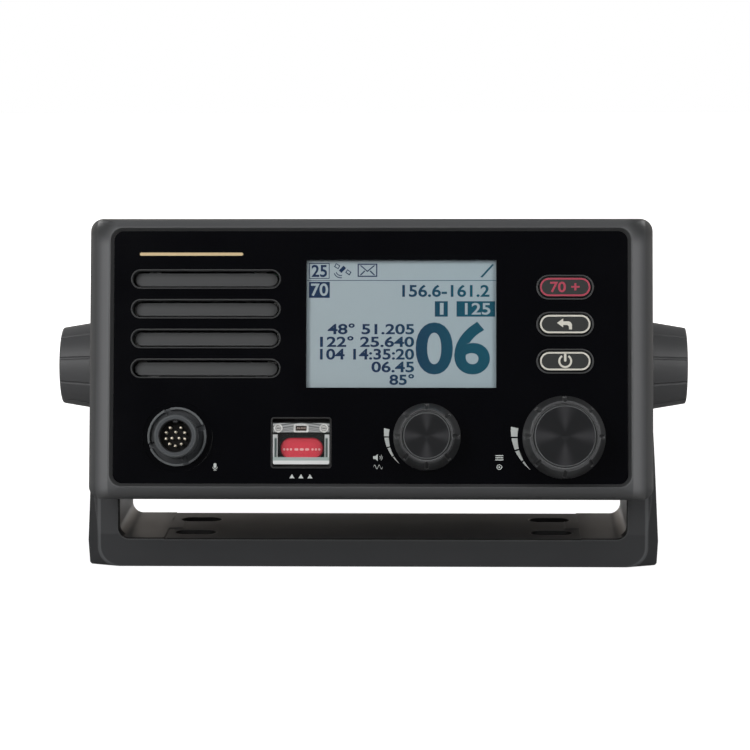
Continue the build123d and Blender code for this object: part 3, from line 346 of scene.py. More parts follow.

# painted shade darkens the lip next to the panel, and the underside
PANEL_HALF_WIDTH, PANEL_HALF_HEIGHT, PANEL_CORNER = 91.35, 44.9, 3.4
past_corner = (from_middle - (PANEL_HALF_WIDTH - PANEL_CORNER)).maths("MAXIMUM", 0.0)
over_corner = (abs(up) - (PANEL_HALF_HEIGHT - PANEL_CORNER)).maths("MAXIMUM", 0.0)
from_panel = radius_of(past_corner, over_corner) - PANEL_CORNER
bezel_plastic.tint(from_panel.falls(0.9, 1.5) * 0.8, (0.03, 0.0305, 0.031))
bezel_plastic.tint(up.falls(-50.0, -46.5) * 0.8, (0.05, 0.051, 0.052))
bezel_plastic.put_on(nodes["front_bezel"])


# ---- front panel -------------------------------------------------------------------
# A polished black panel snapped into the bezel, hard coated so that it wipes clean.

panel_gloss = moulded("panel_gloss", (0.0012, 0.0013, 0.0022), 0.12, grain=0.0, edge=0.0002)
panel_gloss.set({"Specular IOR Level": 0.3})
panel_gloss.put_on(nodes["front_panel"])


# ---- printed marks round the knobs -------------------------------------------------
# Level marks screen-printed on the panel in pale grey ink: a band that narrows on its way
# down the left of each knob, cut by three thin gaps.


def circle(radius, x=0.0, y=0.0, points=48):
    """A round outline, in millimetres."""
    part = 2.0 * math.pi / points
    return [(x + radius * math.cos(i * part), y + radius * math.sin(i * part)) for i in range(points)]


def wedge(inner, outer_start, outer_end, start, end, points=12):
    """A curved outline between two angles in degrees, whose outer radius changes evenly."""
    outline = []
    for i in range(points + 1):
        share = i / points
        angle = math.radians(start + (end - start) * share)
        radius = outer_start + (outer_end - outer_start) * share
        outline.append((radius * math.cos(angle), radius * math.sin(angle)))
    for i in range(points, -1, -1):
        angle = math.radians(start + (end - start) * i / points)
        outline.append((inner * math.cos(angle), inner * math.sin(angle)))
    return outline


def take_up(piece):
    """Make a piece the only one that the next operators act on."""
    bpy.ops.object.select_all(action="DESELECT")
    piece.select_set(True)
    bpy.context.view_layer.objects.active = piece


def made_solid(name, drawing):
    """A piece whose mesh comes from a curve with a thickness."""
    piece = bpy.data.objects.new(name, drawing)
    bpy.context.scene.collection.objects.link(piece)
    take_up(piece)
    bpy.ops.object.convert(target="MESH")
    return bpy.context.object


def cut_out(name, outlines, thickness):
    """A flat piece from closed outlines in millimetres; an outline inside another is a hole."""
    drawing = bpy.data.curves.new(name, "CURVE")
    drawing.dimensions = "2D"
    drawing.fill_mode = "BOTH"
    drawing.extrude = thickness * MM / 2
    for outline in outlines:
        spline = drawing.splines.new("POLY")
        spline.points.add(len(outline) - 1)
        for point, (x, y) in zip(spline.points, outline):
            point.co = (x * MM, y * MM, 0.0, 1.0)
        spline.use_cyclic_u = True
    return made_solid(name, drawing)


def set_on_face(piece, finish, x, y, height, body, slot):
    """Finish a piece that was drawn flat, and set it on the head's face, to ride on a body."""
    finish.put_on(piece)
    piece.data.transform(face_matrix @ Matrix.Translation((x * MM, y * MM, height * MM)))
    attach(piece, body)


def ink(name, colour, roughness=0.5):
    """A screen-printed ink, which lies a little thicker in some places than in others."""
    finish = Finish(name)
    mottle = finish.noise(finish.place(), 1400.0, 3.0)
    thin = tuple(channel * 0.9 for channel in colour)
    thick = tuple(channel * 1.1 for channel in colour)
    raised = finish.node("ShaderNodeBump", inputs={"Strength": 0.1, "Distance": 0.00005, "Height": mottle})
    finish.set({
        "Base Color": finish.mixed(mottle, thin, thick),
        "Roughness": mottle * 0.2 + (roughness - 0.1),
        "Normal": raised,
    })
    return finish


INK = 0.03
ON_PANEL = -1.5 + INK / 2
KNOB_PLACES = {"volume": (20.2, -28.3), "menu": (68.6, -28.4)}
LEVEL_BANDS = {"volume": (13.5, 15.5), "menu": (16.4, 19.1)}
LEVEL_STOPS = (167.6, 180.0, 195.0, 210.0, 224.8)
LEVEL_GAP = 1.8
LEVEL_TIP = 0.1
print_ink = ink("print_ink", (0.52, 0.55, 0.53))
for knob, (inner, outer) in LEVEL_BANDS.items():
    shares = [(stop - LEVEL_STOPS[0]) / (LEVEL_STOPS[-1] - LEVEL_STOPS[0]) for stop in LEVEL_STOPS]
    radii = [outer - (outer - inner) * share for share in shares]
    outlines = []
    for i in range(len(LEVEL_STOPS) - 1):
        start = LEVEL_STOPS[i] + LEVEL_GAP / 2
        end = LEVEL_STOPS[i + 1] - LEVEL_GAP / 2
        outlines.append(wedge(inner, radii[i], radii[i + 1] + LEVEL_TIP, start, end))
    marks = cut_out(f"{knob}_level_marks", outlines, INK)
    set_on_face(marks, print_ink, *KNOB_PLACES[knob], ON_PANEL, "head", "panel_gloss")


# ---- pictograms --------------------------------------------------------------------
# Small plain signs printed beside the controls: a microphone, a loudspeaker, a wave for
# squelch, three bars for the menu, rings for its cursor, and arrowheads that point up at
# the distress key.


def bar(left, bottom, right, top):
    """A rectangular outline, in millimetres."""
    return [(left, bottom), (right, bottom), (right, top), (left, top)]


def pill(width, height, x=0.0, y=0.0, points=16):
    """A bar with round ends, lying along x, or standing where it is taller than wide."""
    radius = min(width, height) / 2.0
    reach = (max(width, height) / 2.0) - radius
    outline = []
    for end, start in ((1, -90.0), (-1, 90.0)):
        for i in range(points + 1):
            angle = math.radians(start + 180.0 * i / points)
            along = end * reach + radius * math.cos(angle)
            across = radius * math.sin(angle)
            outline.append((x + along, y + across) if width >= height else (x - across, y + along))
    return outline


microphone = [
    pill(1.0, 1.7, 0, 0.4),
    wedge(0.75, 0.95, 0.95, 190.0, 350.0),
    bar(-0.1, -1.2, 0.1, -0.9),
    bar(-0.55, -1.35, 0.55, -1.2),
]
loudspeaker = [
    [(-1.5, -0.5), (-0.8, -0.5), (0.1, -1.2), (0.1, 1.2), (-0.8, 0.5), (-1.5, 0.5)],
    [(x + 0.1, y) for x, y in wedge(0.8, 1.0, 1.0, -40.0, 40.0)],
    [(x + 0.1, y) for x, y in wedge(1.4, 1.6, 1.6, -40.0, 40.0)],
]
crest = [(0.2 * i - 1.6, 0.7 * math.sin(0.784 * i)) for i in range(17)]
wave = [[(x, y + 0.12) for x, y in crest] + [(x, y - 0.12) for x, y in reversed(crest)]]
menu_bars = [bar(-1.4, y - 0.17, 1.4, y + 0.17) for y in (-0.75, 0.0, 0.75)]
cursor = [circle(0.95), circle(0.7), circle(0.3)]
arrowheads = [[(x - 0.9, -0.7), (x + 0.9, -0.7), (x, 0.8)] for x in (-3.2, 0.0, 3.2)]
DISTRESS_X = -24.4
for name, outlines, x, y in (
    ("microphone_sign", microphone, -54.9, -38.9),
    ("loudspeaker_sign", loudspeaker, 2.7, -35.6),
    ("squelch_sign", wave, 2.9, -38.9),
    ("menu_sign", menu_bars, 45.8, -35.6),
    ("cursor_sign", cursor, 45.8, -38.9),
    ("distress_arrowheads", arrowheads, DISTRESS_X, -42.3),
):
    set_on_face(cut_out(name, outlines, INK), print_ink, x, y, ON_PANEL, "head", "panel_gloss")

# a plain gold rule at the top left
gold_ink = ink("gold_ink", (0.6, 0.46, 0.26), 0.4)
gold_ink.set({"Metallic": 0.3})
rule = cut_out("gold_rule", [pill(36.8, 1.1)], INK)
set_on_face(rule, gold_ink, -63.7, 36.7, ON_PANEL, "head", "panel_gloss")


# ---- display -----------------------------------------------------------------------
# A reflective liquid-crystal panel behind a clear window that is flush with the front.
# What it shows is plain: a channel number, rows of figures, and small signs in a top row.

DISPLAY_PLACE = (11.0, 11.9)
lcd_glass = Finish("lcd_glass", {"Roughness": 0.5, "Specular IOR Level": 0.15})
place = lcd_glass.place()
cloud = lcd_glass.noise(place, 22.0, 1.0)
to_right = (lcd_glass.axis(place, "X") + 0.0226) / 0.067
tone = lcd_glass.node(
    "ShaderNodeValToRGB",
    {"stops": ((0.0, (0.4, 0.47, 0.5)), (1.0, (0.37, 0.46, 0.5)))},
    {"Fac": to_right * 0.8 + cloud * 0.4},
)
lcd_glass.set({"Base Color": tone})
lcd_glass.put_on(nodes["display_module"])

window_glass = Finish(
    "window_glass",
    {"Base Color": (0.02, 0.03, 0.04), "Alpha": 0.04, "Specular IOR Level": 0.4},
)
smudge = window_glass.noise(window_glass.place(), 60.0, 3.0)
window_glass.set({"Roughness": smudge * 0.05 + 0.01})
window_glass.put_on(nodes["display_window"])


# how much of its size a figure of the built-in face is high
FIGURE_SHARE = 0.7


def written(name, text, left, right, middle, height, thickness, weight):
    """Plain figures in the built-in face, stretched to fill a box in millimetres."""
    bpy.ops.object.select_all(action="DESELECT")
    bpy.ops.object.text_add()
    line = bpy.context.object
    line.name = name
    line.data.body = text
    line.data.size = height * MM / FIGURE_SHARE
    line.data.extrude = thickness * MM / 2
    line.data.offset = weight * MM
    line.data.resolution_u = 6
    bpy.ops.object.convert(target="MESH")
    line = bpy.context.object
    xs = [point.co.x for point in line.data.vertices]
    ys = [point.co.y for point in line.data.vertices]
    stretch = Matrix.Diagonal(
        ((right - left) * MM / (max(xs) - min(xs)), height * MM / (max(ys) - min(ys)), 1.0, 1.0)
    )
    corner = Matrix.Translation((-min(xs), -min(ys), 0.0))
    line.data.transform(
        Matrix.Translation((left * MM, (middle - height / 2) * MM, 0.0)) @ stretch @ corner
    )
    return line


LCD_INK = 0.02
ON_DISPLAY = -3.6 + LCD_INK / 2
lcd_ink = Finish("lcd_ink", {"Roughness": 0.5, "Specular IOR Level": 0.1})
to_right = ((lcd_ink.axis(lcd_ink.place(), "X") - 0.005) / 0.03).held(0.0, 1.0)
lcd_ink.set({"Base Color": lcd_ink.mixed(to_right, (0.014, 0.033, 0.085), (0.01, 0.085, 0.13))})
lcd_pieces = [written("channel_figures", "06", 5.1, 31.5, -8.5, 18.8, LCD_INK, 0.75)]
# the figures, the left edge and the middle height of each row
rows = (
    ("48\u00b0 51.205", -26.2, -1.67),
    ("122\u00b0 25.640", -28.9, -6.2),
    ("104 14:35:20", -28.9, -10.7),
    ("06.45", -10.6, -15.2),
    ("85\u00b0", -4.2, -19.7),
)
for number, (text, left, middle) in enumerate(rows):
    lcd_pieces.append(written(f"row_{number + 1}", text, left, 4.55, middle, 3.9, LCD_INK, 0.13))
lcd_pieces.append(written("row_top", "156.6-161.2", 0.3, 31.3, 11.9, 4.35, LCD_INK, 0.13))
lcd_pieces.append(written("power_figures", "25", -32.0, -26.5, 19.0, 4.4, LCD_INK, 0.13))
satellite = [
    [(-21.4, 18.3), (-19.7, 20.0), (-20.6, 20.9), (-22.3, 19.2)],
    [(-24.0, 20.5), (-22.5, 19.6), (-21.8, 20.9), (-23.3, 21.8)],
    [(-23.6, 20.6), (-22.6, 20.0), (-22.2, 20.8), (-23.2, 21.4)],
    [(-20.0, 18.4), (-18.5, 17.4), (-17.8, 18.6), (-19.3, 19.6)],
    [(-19.6, 18.5), (-18.6, 17.9), (-18.2, 18.6), (-19.2, 19.2)],
    [(x - 21.6, y + 19.0) for x, y in wedge(1.5, 1.8, 1.8, 195.0, 285.0)],
    [(x - 21.6, y + 19.0) for x, y in wedge(2.3, 2.6, 2.6, 200.0, 280.0)],
]
lcd_pieces.append(cut_out("satellite_sign", satellite, LCD_INK))
envelope = [
    bar(-15.6, 16.9, -8.6, 21.6),
    bar(-15.2, 17.3, -9.0, 21.2),
    [(-14.9, 21.0), (-12.1, 18.6), (-9.3, 21.0), (-9.9, 21.0), (-12.1, 19.1), (-14.3, 21.0)],
    [(-14.9, 17.5), (-14.3, 17.5), (-12.9, 18.9), (-13.2, 19.2)],
    [(-9.3, 17.5), (-9.9, 17.5), (-11.3, 18.9), (-11.0, 19.2)],
]
lcd_pieces.append(cut_out("envelope_sign", envelope, LCD_INK))
boxes = [
    bar(-33.6, 15.5, 33.6, 15.7),
    bar(-32.9, 16.2, -25.6, 21.8),
    bar(-32.65, 16.45, -25.85, 21.55),
    bar(-32.9, 9.4, -25.5, 15.1),
    bar(11.9, 2.7, 16.5, 8.2),
    bar(19.6, 2.7, 33.3, 8.2),
    [(28.0, 16.8), (28.8, 16.7), (32.9, 21.2), (32.3, 21.5)],
]
lcd_pieces.append(cut_out("status_boxes", boxes, LCD_INK))

# pale figures on the dark boxes
pale_figures = [
    written("mode_figures", "70", -32.2, -26.1, 12.3, 4.5, 2 * LCD_INK, 0.12),
    written("watch_figures", "1", 13.7, 15.0, 5.5, 4.2, 2 * LCD_INK, 0.08),
    written("region_figures", "125", 22.6, 31.6, 5.5, 4.2, 2 * LCD_INK, 0.1),
]
for finish, pieces in ((lcd_ink, lcd_pieces), (lcd_glass, pale_figures)):
    for piece in pieces:
        set_on_face(piece, finish, *DISPLAY_PLACE, ON_DISPLAY, "head", "display_panel")


# ---- rubber keys -------------------------------------------------------------------
# Three sprung keys in soft black silicone, each in a thin rubber rim. A ring and a sign
# are printed on each face: red with a plain channel number, grey arrow, grey power sign.

key_rubber = moulded(
    "key_rubber", (0.0065, 0.0085, 0.008), 0.55, grain_size=0.0005, grain=0.08, patches=0.2, wear_and_edge_highlight=0.05
)
key_rubber.put_on(nodes["channel_key"], nodes["back_key"], nodes["power_key"])
rim_rubber = moulded("rim_rubber", (0.028, 0.029, 0.03), 0.45, grain=0.03, edge=0.0003, wear_and_edge_highlight=0.03)
rim_rubber.put_on(nodes["key_rims"])
key_red = ink("key_red", (0.4, 0.035, 0.07))
key_grey = ink("key_grey", (0.62, 0.6, 0.53))

KEY_X, KEY_Y, KEY_PITCH = 69.05, 11.75, 13.15
ON_KEY = -0.4 + INK / 2
number = written("channel_number", "70 +", -5.3, 5.1, 0.0, 3.8, INK, 0.1)
head = [(-0.7, -1.2), (-2.9, 0.4), (-0.7, 2.0), (-0.7, 0.95)]
quarter = [i * math.pi / 12 for i in range(7)]
bend = [(1.0 + 1.4 * math.sin(angle), -0.45 + 1.4 * math.cos(angle)) for angle in quarter]
tail = [(2.4, -1.9), (1.35, -1.9), (1.3, -0.85), (0.8, -0.35), (-0.7, -0.3)]
arrow = cut_out("back_arrow", [head + bend + tail], INK)
power = cut_out("power_sign", [wedge(1.75, 2.45, 2.45, 122.0, 418.0, 40), pill(0.85, 3.1, 0.0, 1.35)], INK)
for name, row, colour, sign in (
    ("channel", 1, key_red, number),
    ("back", 0, key_grey, arrow),
    ("power", -1, key_grey, power),
):
    ring = cut_out(f"{name}_key_ring", [pill(17.8, 6.5), pill(16.6, 5.3)], INK)
    for mark in (ring, sign):
        set_on_face(mark, colour, KEY_X, KEY_Y + row * KEY_PITCH, ON_KEY, f"{name}_press", "key_rubber")


# ---- speaker and its grille --------------------------------------------------------
# Four slots through the panel, each with a thin raised rim and a grey bar that stands
# back in it. A treated paper cone in a pressed steel frame faces them from behind.

GRILLE_X, GRILLE_Y, SLOT_COUNT, SLOT_PITCH = -58.5, 11.9, 4, 10.6
grille_plastic = moulded("grille_plastic", (0.036, 0.0375, 0.039), 0.5, grain=0.06, edge=0.0003)
across, up, out = face_place(grille_plastic, 0.0, GRILLE_Y)

# a painted highlight along the bars' long edges, darker on the rims, and painted shade, black, at the
# bottom of the slots
from_bar = abs((up / SLOT_PITCH).maths("FRACT") - 0.5) * SLOT_PITCH
grille_plastic.tint(from_bar.rises(1.7, 2.1), (0.075, 0.077, 0.08))
grille_plastic.tint(out.rises(-3.2, -2.6), (0.015, 0.016, 0.017))
grille_plastic.tint(out.falls(-8.4, -8.0), (0.003, 0.003, 0.003))
grille_plastic.put_on(nodes["speaker_grille"])


def finish_edges(piece, width, segments=3, sharp=50.0):
    """Round the edges that are sharper than an angle, and smooth the curved faces."""
    take_up(piece)
    broken = piece.modifiers.new("broken", "BEVEL")
    broken.width = width * MM
    broken.segments = segments
    broken.limit_method = "ANGLE"
    broken.angle_limit = math.radians(sharp)
    bpy.ops.object.modifier_apply(modifier="broken")
    bpy.ops.object.shade_smooth_by_angle(angle=math.radians(40.0))
    return piece


# a rounded face on each bar
BAR_FACE, ON_BAR = 0.5, -5.05
for number in range(SLOT_COUNT):
    bar_face = cut_out(f"grille_bar_face_{number + 1}", [pill(50.6, 4.3, points=12)], BAR_FACE)
    finish_edges(bar_face, 0.2, sharp=60.0)
    y = GRILLE_Y + (number - (SLOT_COUNT - 1) / 2) * SLOT_PITCH
    set_on_face(bar_face, grille_plastic, GRILLE_X, y, ON_BAR, "head", "grille_plastic")

cone_paper = moulded(
    "cone_paper", (0.012, 0.012, 0.012), 0.85, grain_size=0.0006, grain=0.3, edge=0.0002, patches=0.25
)
cone_paper.put_on(nodes["speaker_cone"])


def metal(name, colour, roughness, grain_size=0.0004, grain=0.05, edge=0.0002):
    """A bare or plated metal, a little uneven in tone and polish, with softened edges."""
    finish = moulded(name, colour, roughness, grain_size, grain, edge, patches=0.08)
    finish.set({"Metallic": 1.0})
    return finish


plated_steel = metal("plated_steel", (0.42, 0.42, 0.41), 0.34)
plated_steel.put_on(nodes["speaker_frame"])


# ---- microphone socket -------------------------------------------------------------
# A bayonet socket in dark grey plastic: a notched outer ring, a barrel with a key at the
# top of its bore, and twelve gold-plated pins in a black insulator. A nut holds it.

MIC_PLACE = (-68.3, -28.4)
socket_plastic = moulded("socket_plastic", (0.045, 0.05, 0.055), 0.36, grain=0.04, edge=0.0004, wear_and_edge_highlight=0.06)
across, up, out = face_place(socket_plastic, *MIC_PLACE)
from_centre = radius_of(across, up)

# painted shade in the channel round the barrel and in the bore, and a painted highlight on the edges of the
# ring and the barrel
socket_plastic.tint(from_centre.rises(7.45, 7.6) * from_centre.falls(9.6, 9.7), (0.016, 0.0185, 0.022))
socket_plastic.tint(from_centre.rises(9.6, 9.7) * out.rises(0.6, 0.9), (0.1, 0.108, 0.112))
socket_plastic.tint(from_centre.rises(6.7, 7.3) * from_centre.falls(7.5, 7.6), (0.085, 0.092, 0.096))
socket_plastic.tint(from_centre.falls(5.75, 6.1), (0.02, 0.021, 0.023))
socket_plastic.put_on(nodes["mic_socket_shell"])
insert_black = moulded("insert_black", (0.003, 0.0026, 0.0022), 0.6, grain=0.05)
insert_black.set({"Specular IOR Level": 0.2})
insert_black.put_on(nodes["mic_socket_insert"])
contact_gold = metal("contact_gold", (0.95, 0.86, 0.7), 0.3, grain=0.0, edge=0.0006)
contact_gold.put_on(nodes["mic_socket_pins"])
plated_steel.put_on(nodes["mic_socket_nut"])


# ---- distress key ------------------------------------------------------------------
# A red key at the bottom of a black well, under a clear lid that hinges on a steel pin
# at its top. The lid is moulded in polycarbonate: its rails, lip and bar catch the light.

well_plastic = moulded("well_plastic", (0.007, 0.0065, 0.0065), 0.4, grain=0.03, edge=0.0003, wear_and_edge_highlight=0.035)
well_plastic.put_on(nodes["distress_well"])
distress_red = moulded(
    "distress_red", (0.66, 0.024, 0.05), 0.42, 0.0003, grain=0.06, edge=0.0005, patches=0.05, wear_and_edge_highlight=0.02
)
distress_red.put_on(nodes["distress_button"])
bright_steel = metal("bright_steel", (0.62, 0.6, 0.57), 0.25, grain_size=0.0002)
bright_steel.put_on(nodes["cover_hinge_pin"])

# the lid's thick parts: a rail down each side, the lip below and the bar along the hinge
COVER_Y = -30.7
clear = Finish("cover_clear", {"IOR": 1.55})
across, up, out = face_place(clear, DISTRESS_X, COVER_Y)
from_middle = abs(across)
rail = from_middle.rises(8.25, 8.45) * up.falls(3.1, 3.4)
lip = (-up).rises(4.65, 4.95)
hinge_bar = up.rises(3.95, 4.1)

# pale where they catch the light, with a darker core in each rail and streaks along the bar
flow = {"W": up + from_middle * 0.15, "Scale": 1.9, "Detail": 2.0}
streaks = clear.node("ShaderNodeTexNoise", {"noise_dimensions": "1D"}, flow)
rail_core = from_middle.rises(8.5, 8.7) * from_middle.falls(9.35, 9.55) * up.falls(1.6, 2.4)
rail_light = clear.mixed(rail_core, (0.62, 0.64, 0.63), (0.1, 0.13, 0.125))
bar_light = clear.mixed(streaks.rises(0.35, 0.65), (0.17, 0.18, 0.18), (0.5, 0.51, 0.51))
lip_light = clear.mixed((-up).rises(5.7, 6.3), (0.42, 0.5, 0.48), (0.85, 0.86, 0.85))
tone = clear.mixed(rail, (0.5, 0.52, 0.52), rail_light)
tone = clear.mixed(hinge_bar, tone, bar_light)
tone = clear.mixed(lip, tone, lip_light)

# all but clear between them, and clearer away from the front skin
thick = rail.maths("MAXIMUM", lip).maths("MAXIMUM", hinge_bar)
solid = thick * (out.rises(-2.6, -1.9) * 0.5 + 0.3) + 0.015
clear.set({"Base Color": tone, "Alpha": solid, "Roughness": streaks * 0.1 + 0.05})
clear.put_on(nodes["distress_cover"])

# the spring: turns of wire round the pin, in place of a plain sleeve
COIL_TURNS, COIL_POINTS, COIL_LENGTH, COIL_RADIUS, WIRE_RADIUS = 8, 16, 4.0, 0.8, 0.19
HINGE_Y, HINGE_HEIGHT = -25.25, -2.85
coil_line = bpy.data.curves.new("cover_spring_coil", "CURVE")
coil_line.dimensions = "3D"
coil_line.bevel_depth = WIRE_RADIUS * MM
coil_line.bevel_resolution = 2
coil = coil_line.splines.new("POLY")
coil.points.add(COIL_TURNS * COIL_POINTS)
for i, point in enumerate(coil.points):
    angle = 2.0 * math.pi * i / COIL_POINTS
    along = (i / (COIL_TURNS * COIL_POINTS) - 0.5) * COIL_LENGTH
    place = Vector((along, COIL_RADIUS * math.cos(angle), COIL_RADIUS * math.sin(angle))) * MM
    point.co = (*place, 1.0)
cover_spring = made_solid("cover_spring_coil", coil_line)
bpy.ops.object.shade_smooth()
spring_wire = metal("spring_wire", (0.3, 0.24, 0.21), 0.35, grain=0.02, edge=0.0001)
set_on_face(cover_spring, spring_wire, DISTRESS_X, HINGE_Y, HINGE_HEIGHT, "head", "spring_steel")
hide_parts("cover_spring")

# rims of painted highlight round the pin's ends and round the opening for the spring, where the clear lid's
# bosses catch the light
painted_rim_highlight = Finish("painted_rim_highlight", {"Roughness": 0.2})
glow = painted_rim_highlight.noise(painted_rim_highlight.place(), 900.0, 2.0)
painted_rim_highlight.set({"Base Color": painted_rim_highlight.mixed(glow, (0.28, 0.28, 0.27), (0.9, 0.9, 0.87))})


def rounded(width, height, corner, points=6):
    """A rectangular outline with rounded corners, in millimetres."""
    outline = []
    for x, y, start in ((1, 1, 0.0), (-1, 1, 90.0), (-1, -1, 180.0), (1, -1, 270.0)):
        for i in range(points + 1):
            angle = math.radians(start + 90.0 * i / points)
            right = x * (width / 2 - corner) + corner * math.cos(angle)
            top = y * (height / 2 - corner) + corner * math.sin(angle)
            outline.append((right, top))
    return outline


TRIM = 0.1
BOSS_X = 8.1
ON_BOSS, IN_BOSS, ON_COVER = -1.05, -1.07, -1.44
pin_grey = metal("pin_grey", (0.5, 0.49, 0.47), 0.45, grain=0.02)
pin_grey.set({"Metallic": 0.3})
for x, name in ((DISTRESS_X - BOSS_X, "left"), (DISTRESS_X + BOSS_X, "right")):
    boss_rim = cut_out(f"cover_boss_rim_{name}", [circle(1.58), circle(1.02)], TRIM)
    set_on_face(boss_rim, painted_rim_highlight, x, HINGE_Y, ON_BOSS, "cover", "cover_clear")
    pin_end = cut_out(f"cover_pin_end_{name}", [circle(0.82), bar(-0.6, -0.2, 0.6, 0.2)], TRIM)
    set_on_face(pin_end, pin_grey, x, HINGE_Y, IN_BOSS, "cover", "spring_steel")
spring_rim = cut_out("cover_spring_rim", [rounded(5.3, 2.9, 0.5), rounded(3.9, 1.7, 0.2)], TRIM)
set_on_face(spring_rim, painted_rim_highlight, DISTRESS_X, HINGE_Y, ON_COVER, "cover", "cover_clear")

# three dots, three dashes and three dots, printed on the red key in pale ink
key_pale = ink("key_pale", (0.85, 0.42, 0.42))
DOT, DASH = 0.8, 1.5
BUTTON_Y = -32.6
ON_BUTTON = -6.2 + INK / 2
CODE_LENGTH = 13.3
code = []
start = -CODE_LENGTH / 2
for length, gap in zip([DOT] * 3 + [DASH] * 3 + [DOT] * 3, (0.4, 0.4, 0.8) * 3):
    middle = start + length / 2
    code.append(pill(DASH, DOT, middle, points=6) if length == DASH else circle(0.42, middle, points=16))
    start += length + gap
code_marks = cut_out("distress_code_marks", code, INK)
set_on_face(code_marks, key_pale, DISTRESS_X, BUTTON_Y, ON_BUTTON, "distress_press", "distress_red")


# ---- turning knobs -----------------------------------------------------------------
# Two satin knobs that turn and push, each with eight shallow grooves for the fingers and
# a disc of turned, anodised aluminium in its front, with a painted highlight in a cross on it.

CAP_RADII = {"volume": 8.25, "menu": 10.8}
knob_plastic = moulded("knob_plastic", (0.034, 0.035, 0.037), 0.42, grain=0.05, edge=0.00045, wear_and_edge_highlight=0.09)
for knob, radius in CAP_RADII.items():
    # two thin rings of painted highlight on the front: one round the cap, and a fainter one outside it
    across, up, out = face_place(knob_plastic, *KNOB_PLACES[knob])
    from_cap = radius_of(across, up) - radius
    near = from_cap.rises(0.22, 0.32) * from_cap.falls(0.5, 0.6)
    far = from_cap.rises(1.3, 1.45) * from_cap.falls(1.6, 1.75)
    knob_plastic.tint((near + far * 0.45) * out.rises(10.0, 10.5), (0.2, 0.205, 0.21))
knob_plastic.put_on(nodes["volume_knob"], nodes["menu_knob"])

for knob, radius in CAP_RADII.items():
    spun = Finish(f"{knob}_cap_aluminium", {"Metallic": 0.85})
    across, up, out = face_place(spun, *KNOB_PLACES[knob])
    from_centre = radius_of(across, up)

    # painted highlight: a cross of four pale lobes, which fade towards the middle, and a bright rim
    angle = up.maths("ARCTAN2", across)
    painted_cross_highlight = ((angle * 4.0).maths("COSINE") * 0.5 + 0.5).maths("POWER", 4.0)
    painted_cross_highlight = painted_cross_highlight * from_centre.rises(0.4, radius * 0.5)
    tone = spun.mixed(painted_cross_highlight, (0.02, 0.0205, 0.022), (0.048, 0.048, 0.051))
    tone = spun.mixed(from_centre.rises(radius - 0.42, radius - 0.3), tone, (0.3, 0.31, 0.315))

    # fine grooves from the lathe, which end short of the centre
    turning = spun.node("ShaderNodeTexNoise", {"noise_dimensions": "1D"}, {"W": from_centre, "Scale": 9.0})
    height = turning * from_centre.rises(0.6, 2.0)
    grooves = spun.node("ShaderNodeBump", inputs={"Strength": 0.12, "Distance": 0.0001, "Height": height})
    spun.set({"Base Color": tone, "Roughness": turning * 0.2 + 0.3, "Normal": grooves})
    spun.put_on(nodes[f"{knob}_knob_cap"])

shaft_metal = metal("shaft_metal", (0.6, 0.58, 0.5), 0.3)
encoder_plastic = moulded("encoder_plastic", (0.02, 0.024, 0.03), 0.5)
for knob in CAP_RADII:
    shaft_metal.put_on(nodes[f"{knob}_shaft"], nodes[f"{knob}_plunger"])
    encoder_plastic.put_on(nodes[f"{knob}_encoder"])
plated_steel.put_on(nodes["encoder_nuts"])


# ---- front circuit board -----------------------------------------------------------
# The board behind the face, in green solder mask, with the key switches on its front,
# the display's light box beside them, and cross-headed screws into the bezel's posts.

board_green = moulded("board_green", (0.01, 0.075, 0.032), 0.35, grain_size=0.0008, grain=0.02, edge=0.0001)
across, up, out = face_place(board_green, 0.0, 0.0)
tracks = board_green.node(
    "ShaderNodeTexBrick",
    {"offset": 0.35},
    {
        "Vector": board_green.node("ShaderNodeCombineXYZ", inputs={"X": across, "Y": up, "Z": 0.0}),
        "Color1": (0.01, 0.075, 0.032),
        "Color2": (0.016, 0.1, 0.045),
        "Mortar": (0.03, 0.16, 0.08),
        "Scale": 0.22,
        "Mortar Size": 0.03,
    },
)
board_green.set({"Base Color": tracks})
board_green.put_on(nodes["front_board"], nodes["main_board"])
switch_plastic = moulded("switch_plastic", (0.03, 0.03, 0.032), 0.5)
switch_plastic.put_on(nodes["key_switches"], nodes["distress_switch"])
backlight_white = moulded("backlight_white", (0.75, 0.76, 0.74), 0.45)
backlight_white.put_on(nodes["display_backlight"])
screw_steel = metal("screw_steel", (0.5, 0.5, 0.49), 0.32)
screw_steel.put_on(nodes["front_board_screws"], nodes["main_board_screws"])
tinned_sheet = metal("tinned_sheet", (0.66, 0.66, 0.64), 0.28, grain_size=0.002, grain=0.08)
tinned_sheet.put_on(nodes["rf_shield"])


# ---- chassis and its gasket --------------------------------------------------------
# The back of the head, an aluminium die casting with draughted cooling fins, powder
# coated black. Screws clamp a rubber gasket between it and the bezel.

powder_coat = moulded(
    "powder_coat", (0.036, 0.037, 0.039), 0.55, 0.0007, grain=0.25, edge=0.0006, patches=0.1, wear_and_edge_highlight=0.05
)
powder_coat.put_on(nodes["chassis"])
gasket_rubber = moulded("gasket_rubber", (0.012, 0.012, 0.012), 0.8, grain=0.1)
gasket_rubber.put_on(nodes["case_gasket"])


def set_behind(piece, finish, x, y, depth):
    """Finish a piece that was drawn flat, and set it on the back of the head, z backwards."""
    finish.put_on(piece)
    half_turn = Matrix.Rotation(math.pi, 4, "Y")
    piece.data.transform(face_matrix @ Matrix.Translation((x * MM, y * MM, -depth * MM)) @ half_turn)
    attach(piece, "head")


